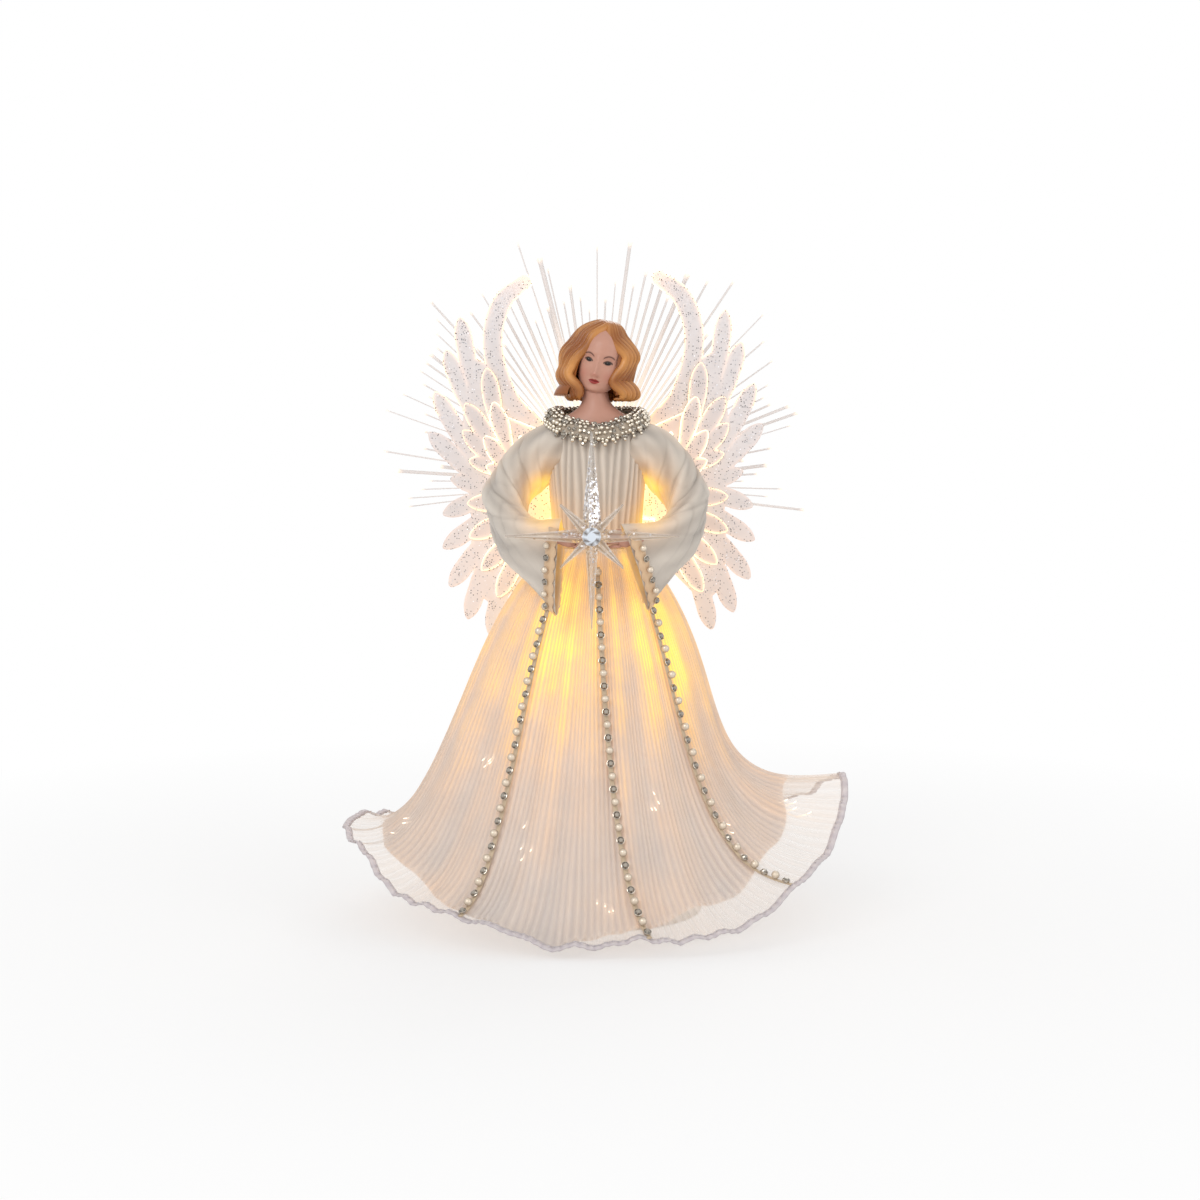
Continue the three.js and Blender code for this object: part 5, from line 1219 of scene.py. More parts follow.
@dataclass
class Bust:
    """The cast doll: shoulder plate, neck, painted face and moulded wavy hair."""

    chin: float = 269.0
    crown: float = 306.5
    face_width: float = 22.6
    hair_rise: float = 2.8
    hair_depth: float = 34.0
    hair_foot: float = 264.0
    tilt_deg: float = 13.5
    turn_deg: float = -8.0
    shift: float = -3.2
    neck_foot: float = 262.0
    plate_foot: float = 232.3
    eye_out: float = 5.0
    eye_up: float = 16.2
    brow_up: float = 20.0
    nose_up: float = 9.6
    mouth_up: float = 6.1
    eye_half: float = 2.1
    locks: int = 17
    lock_steps: int = 52
    lock_sides: int = 10
    front_columns: int = 200
    back_columns: int = 42
    face_steps: int = 190
    skin: Colour = (0.55, 0.29, 0.215)
    blush: Colour = (0.55, 0.17, 0.13)
    lips: Colour = (0.34, 0.045, 0.04)
    lash: Colour = (0.016, 0.008, 0.006)
    iris: Colour = (0.006, 0.003, 0.002)
    white: Colour = (0.2, 0.13, 0.1)
    brow: Colour = (0.07, 0.025, 0.018)
    lid: Colour = (0.42, 0.19, 0.13)
    pupil: Colour = (0.004, 0.003, 0.003)
    # the painted highlight in each eye
    eye_highlight: Colour = (0.5, 0.48, 0.45)
    lip_line: Colour = (0.16, 0.01, 0.01)
    hair: Colour = (0.28, 0.088, 0.02)
    # the paler hair tone, which the crests of the waves also take as a painted highlight
    pale_hair_and_highlight: Colour = (0.66, 0.3, 0.088)
    face_rows = (
        (0.0, 0.1, 0.1, 0.16), (0.03, 0.42, 0.42, 0.15), (0.08, 0.63, 0.6, 0.13), (0.14, 0.78, 0.74, 0.09),
        (0.24, 0.91, 0.92, 0.04), (0.35, 0.99, 1.04, 0.02), (0.48, 1.02, 1.11, 0.01), (0.6, 1.0, 1.14, 0.0),
        (0.75, 0.93, 1.08, 0.0), (0.88, 0.72, 0.84, 0.0), (0.97, 0.38, 0.45, 0.0), (1.0, 0.06, 0.06, 0.0),
    )
    hair_rows = (
        (0.0, 0.86, 0.0), (0.1, 0.92, 0.5), (0.2, 1.0, 0.85), (0.3, 1.0, 0.7), (0.42, 0.99, 0.2), (0.55, 0.985, 0.0),
        (0.66, 0.95, 0.0), (0.77, 0.86, 0.0), (0.87, 0.7, 0.0), (0.95, 0.46, 0.0), (1.0, 0.12, 0.0),
    )
    side_rises = (0.0, 0.06, 0.125, 0.2, 0.27, 0.335, 0.4, 0.48, 0.55, 0.62, 0.7, 0.77, 0.86, 0.937, 1.0)
    right_half = (20.4, 21.6, 22.2, 20.6, 17.8, 18.4, 18.3, 17.7, 16.9, 17.6, 15.6, 12.9, 9.6, 6.4, 2.2)
    left_half = (13.9, 14.4, 15.4, 18.0, 21.4, 21.8, 20.0, 20.9, 21.8, 21.8, 20.6, 18.8, 15.2, 10.5, 2.2)
    plate_rows = (
        (16.0, 11.0, 0), (21.0, 12.0, 0.3), (21.8, 11.6, 0.5), (18.5, 10.4, 0.64),
        (11.5, 9.0, 0.76), (7.6, 7.6, 0.87), (6.9, 7.0, 1.0), (6.7, 7.0, 1.25),
    )
    palm = (
        (27.8, -45.0, 194.2), (23.7, -50.5, 195.1), (19.5, -55.4, 196.2),
        (17.5, -56.0, 196.6), (14, -56.6, 196.3), (10.5, -57.2, 196.2),
    )
    palm_radii = (1.8, 2.0, 2.2, 2.8, 3.6, 3.1)
    thumb = ((14.5, -56.2, 198.6), (12.4, -55.2, 200.6), (9.8, -54.8, 200.9))
    finger_reaches = (5.6, 6.6, 6.3, 5.2)
    finger_top: float = 199.0
    finger_step: float = 1.85

    def head_matrix(self) -> Matrix:
        """How the head leans and turns on its neck."""
        foot = Matrix.Translation((0, 0, self.neck_foot))
        lean = Matrix.Rotation(math.radians(self.tilt_deg), 4, "Y")
        turn = Matrix.Rotation(math.radians(self.turn_deg), 4, "Z")
        return Matrix.Translation((self.shift, 0, 0)) @ foot @ lean @ turn @ foot.inverted()

    def relief(self, x: np.ndarray, up: np.ndarray) -> np.ndarray:
        """How far the features stand out of the face, for places across it and over the chin."""
        out, eye, mouth = np.abs(x), self.eye_up, self.mouth_up
        bridge = np.interp(up, [6.6, 7.6, self.nose_up, 12.5, 17.5, 19.5], [0, 0.45, 1.0, 0.55, 0.22, 0])
        swells = (
            (0.75, 1.55, 0.8, self.nose_up - 0.5, 1.1),
            (-0.95, self.eye_out, 3.2, eye + 0.6, 2.6),
            (0.75, self.eye_out, 1.9, eye, 1.25),
            (0.28, self.eye_out, 2.2, eye + 1.35 - 0.12 * (out - self.eye_out) ** 2, 0.35),
            (0.55, 0, 2.5, mouth + 0.75, 0.55),
            (0.7, 0, 2.5, mouth - 0.8, 0.65),
            (-0.35, 0, 2.9, mouth + 0.02 * x * x, 0.22),
            (0.9, 0, 3.2, 1.3, 1.7),
            (0.55, 6.2, 3.2, 9.5, 3.4),
            (0.3, self.eye_out, 3.4, self.brow_up, 1.2),
        )
        spread = sum(rise * band(out, aside, wide) * band(up, at, tall) for rise, aside, wide, at, tall in swells)
        return 2.3 * bridge * band(x, 0, 1.35) + spread

    def make_up(self, x: np.ndarray, up: np.ndarray, front: np.ndarray) -> np.ndarray:
        """The paint of the face for places across it and over the chin."""
        out = np.abs(x)
        across = (out - self.eye_out) / self.eye_half
        height = up - self.eye_up - 0.25 * across
        arc, inside = 1 - across**2, np.abs(across) < 1
        eye = inked(0.8 * arc - height) * inked(height + 0.85 * arc) * inside
        near = np.hypot(out - self.eye_out, height - 0.05)
        # Painted highlight: a small pale spot high in each eye, moved to the same side in both.
        eye_highlight = np.hypot(x - np.sign(x) * self.eye_out + 0.3, height - 0.35)
        arch = self.brow_up - 0.2 - 0.16 * (out - self.eye_out - 0.6) ** 2
        brow_ends = smooth((3.1 - np.abs(out - self.eye_out - 0.2)) / 0.8)
        half = 3.0 - 0.1 * np.abs(up - self.mouth_up)
        bow = 1 - (x / half) ** 2
        upper, lower = self.mouth_up + 1.15 * bow - 0.35 * band(x, 0, 0.6), self.mouth_up - 1.5 * bow
        mouth = inked(upper - up, 0.25) * inked(up - lower, 0.25) * (out < half)
        coats = (
            (self.blush, 0.3 * band(out, 6.6, 3.0) * band(up, 9.2, 2.8)),
            (self.blush, 0.3 * band(x, 0, 1.6) * band(up, self.nose_up - 0.4, 1.2)),
            (self.lid, 0.4 * band(out, self.eye_out, 3.0) * band(up, self.eye_up + 1.7, 1.6)),
            (self.white, eye),
            (self.iris, eye * inked(1.4 - near)),
            (self.pupil, eye * inked(0.45 - near)),
            (self.eye_highlight, eye * inked(0.12 - eye_highlight, 0.15)),
            (self.lash, band(height, 0.85 * arc + 0.2, 0.42) * (np.abs(across) < 1.12)),
            (self.lash, 0.45 * band(height, -0.82 * arc - 0.05, 0.16) * inside),
            (self.brow, band(up, arch, 0.36) * brow_ends),
            (self.lips, mouth),
            (self.lip_line, mouth * band(up, self.mouth_up + 0.03 * x * x, 0.2)),
        )
        paint = np.broadcast_to(np.array(self.skin), x.shape + (3,))
        for colour, share in coats:
            paint = blended(paint, colour, share * front)
        return paint

    def face(self) -> Form:
        """The head without its hair, with its features and its paint."""
        front = np.linspace(-math.pi, 0, self.front_columns)
        turns = np.concatenate([front, np.linspace(0, math.pi, self.back_columns)[1:-1]])
        rows = along(self.face_rows, np.linspace(0, 1, self.face_steps))
        height = self.crown - self.chin - self.hair_rise
        half = self.face_width / 2
        x = half * rows[:, 1:2] * np.cos(turns)
        y = -self.face_width * rows[:, 3:4] + half * rows[:, 2:3] * np.sin(turns)
        up = height * rows[:, :1] + 0 * x
        facing = smooth(-np.sin(turns) * 2.2)[None, :] * np.ones_like(x)
        y = y - self.relief(x, up) * facing
        paint = np.concatenate([self.make_up(x, up, facing).reshape(-1, 3), [self.skin] * 2])
        return Form.capped(np.stack([x, y, up + self.chin], axis=-1)).painted(paint)

    def envelope(self, rise: np.ndarray, turn: np.ndarray, side: float, lift: object) -> np.ndarray:
        """Points of the hair's outside: rise runs from the curls to the crown, turn from the side to the back."""
        rows = along(self.hair_rows, rise)
        heights = self.hair_foot + (self.crown - self.hair_foot) * rows[..., 0]
        table = self.right_half if side > 0 else self.left_half
        near = [np.interp(rows[..., 0] + step, self.side_rises, table) for step in (-0.03, -0.015, 0, 0.015, 0.03)]
        half = sum(near) / len(near) + lift
        deep = self.hair_depth * rows[..., 1] / 2 + lift
        back = self.hair_depth * 0.1
        level = math.tan(math.radians(self.tilt_deg)) * (1 - rise)
        x = side * half * np.cos(turn)
        return np.stack([x, back + deep * np.sin(turn), heights + x * level], axis=-1)

    def cap(self) -> Form:
        """The smooth shell under the locks, which leaves the face free."""
        rise = np.linspace(0, 1, 40)
        first = np.radians(-54 - 35 * smooth((rise - 0.56) / 0.32))
        turns = first[:, None] + (math.pi - 2 * first)[:, None] * np.linspace(0, 1, 72)
        shell = self.envelope(0.09 + 0.91 * rise[:, None] + 0 * turns, turns, 1.0, -1.3)
        shell = np.concatenate([shell[:1] * [0.55, 0.6, 1] + [0, 1.5, 5], shell])
        return Form.sheet(shell, ring=False).painted(self.hair)

    def lock(self, side: float, layer: int, spread: float, random: np.random.Generator) -> Form:
        """One waved lock from the parting down to its curl.

        Args:
            side: 1 for the right side, -1 for the left one.
            layer: 0 for the outer locks, 1 for those between them.
            spread: its place from the face at 0 to the back at 1.
            random: where its chances come from.
        Returns:
            The painted lock.
        """
        down = np.linspace(1.0, 0.07 * random.random() - 0.03 * layer * (spread < 0.3), self.lock_steps)
        start = -47 if side > 0 else -54
        low = math.radians(start + (90 - start) * min(spread, 1))
        high = math.radians(-88 + 178 * min(spread, 1))
        turn = low + (high - low) * smooth((down - 0.5) / 0.45)
        wave = np.sin((1 - down) * 14.0 + 2.2 * spread + 0.6 * layer + side) * smooth((0.93 - down) / 0.3)
        curl = smooth((0.13 - down) / 0.13)
        lift = -1.7 - 0.6 * layer + 1.0 * wave - 1.6 * curl**2
        points = self.envelope(down, turn + 0.13 * wave - 0.1 * curl, side, lift)
        points[:, 2] += 1.6 * smooth((0.06 - down) / 0.06)
        taper = (0.35 + 0.65 * smooth((1 - down) / 0.12)) * (0.3 + 0.7 * smooth((down - 0.02) / 0.1))
        width = (2.2 + 0.8 * random.random()) * taper
        tone = 0.1 + 0.6 * random.random()
        # The lock's own tone and the streaks round it are the paint's; the wave term paints a highlight on the crests
        # of the waves and shade in their hollows.
        strands = tone + 0.25 * np.cos(np.arange(self.lock_sides) * 2.5) + 0.4 * wave[:, None]
        strands = np.concatenate([strands.ravel(), [tone, tone]])
        paint = blended(np.tile(self.hair, (len(strands), 1)), self.pale_hair_and_highlight, strands)
        return tube(points, width, self.lock_sides, 0.7, (0.3 * side, 0.9, 0.1)).painted(paint)

    def hair_forms(self) -> Form:
        """The moulded hair: a cap under two sides of waved locks that part over the forehead."""
        forms, random = [self.cap()], np.random.default_rng(14)
        for side in (1.0, -1.0):
            for layer, count in ((0, self.locks), (1, self.locks - 4)):
                for i in range(count):
                    forms.append(self.lock(side, layer, (i + 0.5 * layer) / (count - 1), random))
        return Form.joined(forms)

    def plate(self) -> Form:
        """The neck and the shoulder plate."""
        rows, turns = along(self.plate_rows, np.linspace(0, 1, 40)), circle(64)
        lean = -1.6 * smooth((rows[:, 2:3] - 0.7) / 0.5)
        heights = self.plate_foot + (self.chin - self.plate_foot) * rows[:, 2:3] + 0 * turns
        points = np.stack([rows[:, :1] * np.cos(turns) + lean, rows[:, 1:2] * np.sin(turns), heights], axis=-1)
        return Form.capped(points).painted(dimmed(self.skin, 0.95))

    def hand(self, side: int) -> None:
        """A small hand with its fingers closed on the star."""
        forms = [tube(np.array(self.palm, float), np.array(self.palm_radii), 14, 0.7, (0.4, 0.6, 0.1))]
        for i, reach in enumerate(self.finger_reaches):
            height = self.finger_top - self.finger_step * i
            finger = ((11.5, -57.0, height), (8.6, -58.2, height), (11 - reach * 0.75, -57.6, height - 0.2),
                      (11.4 - reach, -56.3, height - 0.4))
            forms.append(tube(along(finger, np.linspace(0, 1, 9)), np.linspace(0.98, 0.75, 9), 8))
        forms.append(tube(along(self.thumb, np.linspace(0, 1, 7)), np.linspace(1.15, 0.8, 7), 8))
        name = SIDES[side] + "hand"
        made = Form.joined(forms).painted(self.skin).on_side(side).make(name + "_cast", SKIN.make())
        dress(made, [name])

    def build(self) -> None:
        """Makes the bust and the hands."""
        matrix = self.head_matrix()
        skin = SKIN.make()
        head = self.face().moved(matrix).make("bust_cast", skin)
        plate = self.plate().make("plate", skin)
        hair = self.hair_forms().moved(matrix).make("bust_hair", HAIR.make())
        dress(merged("bust_cast", [head, plate]), ["bust"])
        dress(hair)
        for side in SIDES:
            self.hand(side)


# The star


@dataclass
class Star:
    """The clear star with four long points and eight short ones, and its faceted gem."""

    middle = np.array([-2.5, -60.0, 198.6])
    points = ((0, 0, 1, 51.0, 4.6), (0, 0, -1, 46.0, 3.0), (1, 0, 0, 43.0, 3.5), (-1, 0, 0, 43.0, 3.5))
    short: float = 23.0
    short_spike: float = 3.1
    short_tilt_deg: float = 18.0
    core: float = 5.0
    gem: float = 4.7
    gem_depth: float = 3.2
    gem_gap: float = 0.3
    groove_share: float = 0.66
    sides: int = 8

    def point(self, way: np.ndarray, length: float, radius: float) -> Form:
        """One point of the star: a grooved taper that ends in a fine tip."""
        shares = np.array([0, 0.06, 0.14, 0.4, 0.7, 0.9, 0.985, 1.0])
        radii = radius * np.array([0.8, 1.05, 1.05, 0.76, 0.42, 0.18, 0.13, 0.03])
        line = self.middle + np.outer(shares * length, way)
        side = (0.3, 1, 0.2) if abs(way[1]) < 0.2 else (0.9, 0, 0.5)
        up = way[2] > 0.9
        frost = (0.9, 1, 1, 0.9, 0.12, 0, 0, 0) if up else (0.5, 0.35, 0.25, 0.1, 0.05, 0, 0, 0)
        # Painted light: the warm mark, which makes the plastic glow, is strongest at the root of the point.
        warm = np.linspace(0.9, 0.1, len(shares)) * (0.5 if up else 1.0)
        form = tube(line, radii, self.sides, 1.0, side, frost=frost, warm=warm, dark=0 * shares)
        groove = np.arange(len(form.points) - 2) % 2 == 1
        body, centre = form.points[:-2], np.repeat(line, self.sides, axis=0)
        body[groove] = centre[groove] + (body[groove] - centre[groove]) * self.groove_share
        # Painted shade: the grooves are marked dark.
        form.values["dark"][:-2][groove] = 0.8
        return form

    def build(self) -> None:
        """Makes the star and its gem."""
        forms = [self.point(np.array(row[:3], float), *row[3:]) for row in self.points]
        tilt = math.radians(self.short_tilt_deg)
        flat = math.cos(tilt) * math.sqrt(0.5)
        for layer, x, z in product((-1, 1), (1, -1), (1, -1)):
            way = np.array([x * flat, layer * math.sin(tilt), z * flat])
            forms.append(self.point(way, self.short, self.short_spike))
        core = self.core
        rows = ((0.6, -core), (0.92, 0.8 - core), (1.0, -1.5), (1.0, 1.5), (0.8, core - 0.8), (0.5, core))
        disc = lathe([(share * core, back) for share, back in rows], 16, self.middle, upright=False)
        # Painted light: the core glows at a steady warm mark.
        forms.append(Form.capped(disc, frost=0.6, warm=0.4, dark=0.0))
        star = Form.joined(forms).make("star_moulding", ACRYLIC.make())
        star.data.shade_flat()
        dress(star, ["star"])
        facets = ((0.86, 0.0), (1.0, 0.9), (0.98, 1.3), (0.76, 2.3), (0.52, 3.0), (0.46, self.gem_depth))
        rows = [(share * self.gem, -core - self.gem_gap - depth) for share, depth in facets]
        # Painted reflections: the gem's facets are marked dark in rings and in wedges that alternate, so that they show
        # dark and bright.
        wedge = np.arange(12)
        tones = [0 * wedge + 0.3, 0 * wedge, wedge % 2 * 0.7, wedge % 2 * 1.0, wedge % 3 * 0.45, 0 * wedge]
        gem = Form.capped(lathe(rows, 12, self.middle, upright=False), dark=np.array(tones, float), frost=0.0, warm=0.0)
        stone = gem.make("star_gem_cut", GEM.make())
        stone.data.shade_flat()
        dress(stone, ["star_gem"])


# The wings

OUTER_FEATHERS = (
    (0.77, 0.836, 83), (0.868, 0.682, 71), (0.95, 0.482, 63), (1, 0.286, 46), (0.885, 0.055, 16),
    (0.945, -0.12, -20), (0.956, -0.286, -32), (0.929, -0.477, -50), (0.83, -0.64, -69), (0.698, -0.724, -74),
)
MIDDLE_FEATHERS = (
    (0.624, 0.583, 83), (0.767, 0.418, 58), (0.79, 0.287, 45), (0.765, 0.14, 15),
    (0.79, -0.07, 0), (0.79, -0.236, -22), (0.725, -0.4, -42), (0.637, -0.536, -60),
)
INNER_FEATHERS = (
    (0.593, 0.418, 75), (0.66, 0.255, 55), (0.66, 0.11, 25),
    (0.637, -0.064, 0), (0.615, -0.218, -30), (0.527, -0.355, -55),
)
OUTER_PALM = (
    (0.12, -0.15), (0.12, 0.15), (0.3, 0.3), (0.62, 0.6), (0.72, 0.65), (0.77, 0.47), (0.79, 0.3), (0.79, 0.11),
    (0.78, -0.01), (0.77, -0.14), (0.78, -0.27), (0.77, -0.38), (0.75, -0.52), (0.68, -0.57), (0.57, -0.53),
    (0.3, -0.3),
)
MIDDLE_PALM = (
    (0.12, -0.15), (0.12, 0.15), (0.35, 0.28), (0.57, 0.36), (0.6, 0.2), (0.62, 0.05), (0.58, -0.1), (0.58, -0.22),
    (0.5, -0.33), (0.3, -0.25),
)
INNER_PALM = (
    (0.12, -0.15), (0.12, 0.15), (0.3, 0.2), (0.45, 0.25), (0.48, 0.1), (0.47, -0.05), (0.42, -0.18), (0.3, -0.18),
)
ARCH = (
    (0.374, 0.982), (0.495, 0.909), (0.566, 0.79), (0.582, 0.664),
    (0.549, 0.527), (0.462, 0.364), (0.308, 0.19), (0.154, 0.055),
)


@dataclass
class WingLayer:
    """One die-cut sheet of a wing."""

    name: str
    order: int
    feathers: tuple
    length_share: float
    palm: tuple
    edge_light: float
    arch: bool = False


@dataclass
class Wings:
    """Both wings: three glittered sheets each, under a curved arch."""

    reach: float = 91.0
    top: float = 332.0
    root: float = 222.0
    wall: float = 0.8
    gap: float = 0.3
    sweep_deg: float = 10.0
    back: float = 25.5
    half_width: float = 4.95
    tip_length: float = 12.0
    arch_half: float = 5.4
    step: float = 0.85
    across_span: tuple[float, float] = (8.0, 94.0)
    high_span: tuple[float, float] = (138.0, 340.0)
    left_lean_deg: float = 3.0
    shown_wall: float = 0.35
    edge_fade: float = 0.85
    root_glow: float = 34.0
    layers = (
        WingLayer("inner", 0, INNER_FEATHERS, 0.33, INNER_PALM, 1.0),
        WingLayer("middle", 1, MIDDLE_FEATHERS, 0.4, MIDDLE_PALM, 0.85),
        WingLayer("outer", 2, OUTER_FEATHERS, 0.5, OUTER_PALM, 0.3, True),
    )

    def on_wing(self, shares: Sequence[float]) -> np.ndarray:
        """A place on the sheet from its shares."""
        return np.array([shares[0] * self.reach, self.root + shares[1] * (self.top - self.root)])

    def feather(self, spots: np.ndarray, row: Sequence[float], length: float) -> np.ndarray:
        """How deep each spot lies inside one feather; below zero outside of it."""
        tip, turn = self.on_wing(row), math.radians(row[2])
        way = np.array([math.cos(turn), math.sin(turn)])
        gap = tip - spots
        behind, aside = gap @ way, np.abs(gap @ np.array([-way[1], way[0]]))
        rounded = np.clip(behind / self.tip_length, 0, 1)
        narrow = 1 - 0.5 * np.clip((behind - 0.5 * length) / (0.5 * length), 0, 1)
        width = self.half_width * (1 - (1 - rounded) ** 2) ** 0.7 * narrow
        return np.where((behind > 0) & (behind < length), width - aside, -1.0)

    def polygon(self, spots: np.ndarray, shares: Sequence[Sequence[float]]) -> np.ndarray:
        """How deep each spot lies inside an outline."""
        corners = np.array([self.on_wing(share) for share in shares])
        inside, near = np.zeros(len(spots), bool), np.full(len(spots), 1e9)
        for a, b in zip(corners, np.roll(corners, -1, axis=0)):
            edge = b - a
            share = np.clip(((spots - a) @ edge) / (edge @ edge), 0, 1)
            near = np.minimum(near, np.linalg.norm(spots - a - share[:, None] * edge, axis=1))
            crosses = (a[1] > spots[:, 1]) != (b[1] > spots[:, 1])
            inside ^= crosses & (spots[:, 0] < a[0] + edge[0] * (spots[:, 1] - a[1]) / (edge[1] or 1e-9))
        return np.where(inside, near, -near)

    def arch(self, spots: np.ndarray) -> np.ndarray:
        """How deep each spot lies inside the arch, which narrows to a hooked tip."""
        line = along(np.array([self.on_wing(share) for share in ARCH]), np.linspace(0, 1, 120))
        gaps = np.linalg.norm(spots[:, None] - line[None], axis=2)
        nearest = gaps.argmin(axis=1)
        half = self.arch_half * (0.82 + 0.18 * smooth(nearest / 30))
        return half - gaps.min(axis=1)

    def sheet(self, layer: WingLayer) -> Form:
        """The right wing's sheet of one layer, cut along its outline."""
        across, high = np.arange(*self.across_span, self.step), np.arange(*self.high_span, self.step)
        grid = np.stack(np.meshgrid(across, high), axis=-1)
        spots = grid.reshape(-1, 2)
        depth = self.polygon(spots, layer.palm)
        for row in layer.feathers:
            depth = np.maximum(depth, self.feather(spots, row, layer.length_share * self.reach))
        if layer.arch:
            depth = np.maximum(depth, self.arch(spots))
        depth = depth.reshape(grid.shape[:2])
        places, values, faces, known = [], [], [], {}

        def number(key: tuple, place: np.ndarray, inner: float) -> int:
            """The number of a place, which is new where its key is."""
            if key not in known:
                known[key] = len(places)
                places.append(place)
                values.append(inner)
            return known[key]

        filled = depth > 0
        some = filled[:-1, :-1] | filled[1:, :-1] | filled[:-1, 1:] | filled[1:, 1:]
        for i, j in zip(*np.nonzero(some)):
            cell = ((i, j), (i, j + 1), (i + 1, j + 1), (i + 1, j))
            face = []
            for a, b in zip(cell, cell[1:] + cell[:1]):
                if filled[a]:
                    face.append(number(a, grid[a], depth[a]))
                if filled[a] != filled[b]:
                    cut = grid[a] + (grid[b] - grid[a]) * (depth[a] / (depth[a] - depth[b]))
                    face.append(number((min(a, b), max(a, b)), cut, 0.0))
            faces.append(tuple(face))
        return self.placed(layer, np.array(places), np.array(values), faces)

    def placed(self, layer: WingLayer, flat: np.ndarray, inner: np.ndarray, faces: list) -> Form:
        """Stands a cut sheet in its place, with the light that it carries."""
        from_root = np.hypot(flat[:, 0] - 14, (flat[:, 1] - self.root) * 0.8)
        light = layer.edge_light * np.exp(-inner / self.edge_fade) * (0.55 + 0.5 * band(from_root, 0, 80))
        light = light + 0.8 * band(from_root, 0, self.root_glow) + 0.12 * smooth((215 - flat[:, 1]) / 30) + 0.05
        if layer.arch:
            tip = self.on_wing(ARCH[0])
            rim = 0.5 * np.exp(-inner / 0.9) * (flat[:, 1] > 262)
            light = light + 0.4 * np.exp(-np.hypot(*(flat - tip).T) / 7) + rim
        front = self.gap + layer.order * (self.wall + self.gap) + self.wall / 2
        turn = math.radians(self.sweep_deg)
        x = flat[:, 0] * math.cos(turn) - front * math.sin(turn)
        y = flat[:, 0] * math.sin(turn) + front * math.cos(turn)
        points = np.stack([x, y + self.back, flat[:, 1]], axis=-1)
        return Form(points, faces, {"glow": np.clip(light, 0, 1)})

    def build(self) -> None:
        """Makes all the sheets."""
        material = SHEET.make()
        foot = Matrix.Translation((0, 0, self.root))
        lean = foot @ Matrix.Rotation(-math.radians(self.left_lean_deg), 4, "Y") @ foot.inverted()
        for layer in self.layers:
            form = self.sheet(layer)
            for side, own in ((1, form), (-1, form.on_side(-1).moved(lean))):
                name = f"{SIDES[side]}wing_{layer.name}"
                made = own.make(name + "_sheet", material, outwards=False)
                thick = made.modifiers.new("wall", "SOLIDIFY")
                thick.thickness, thick.offset = self.shown_wall * MM, 0.0
                dress(made, [name])


# The fibres


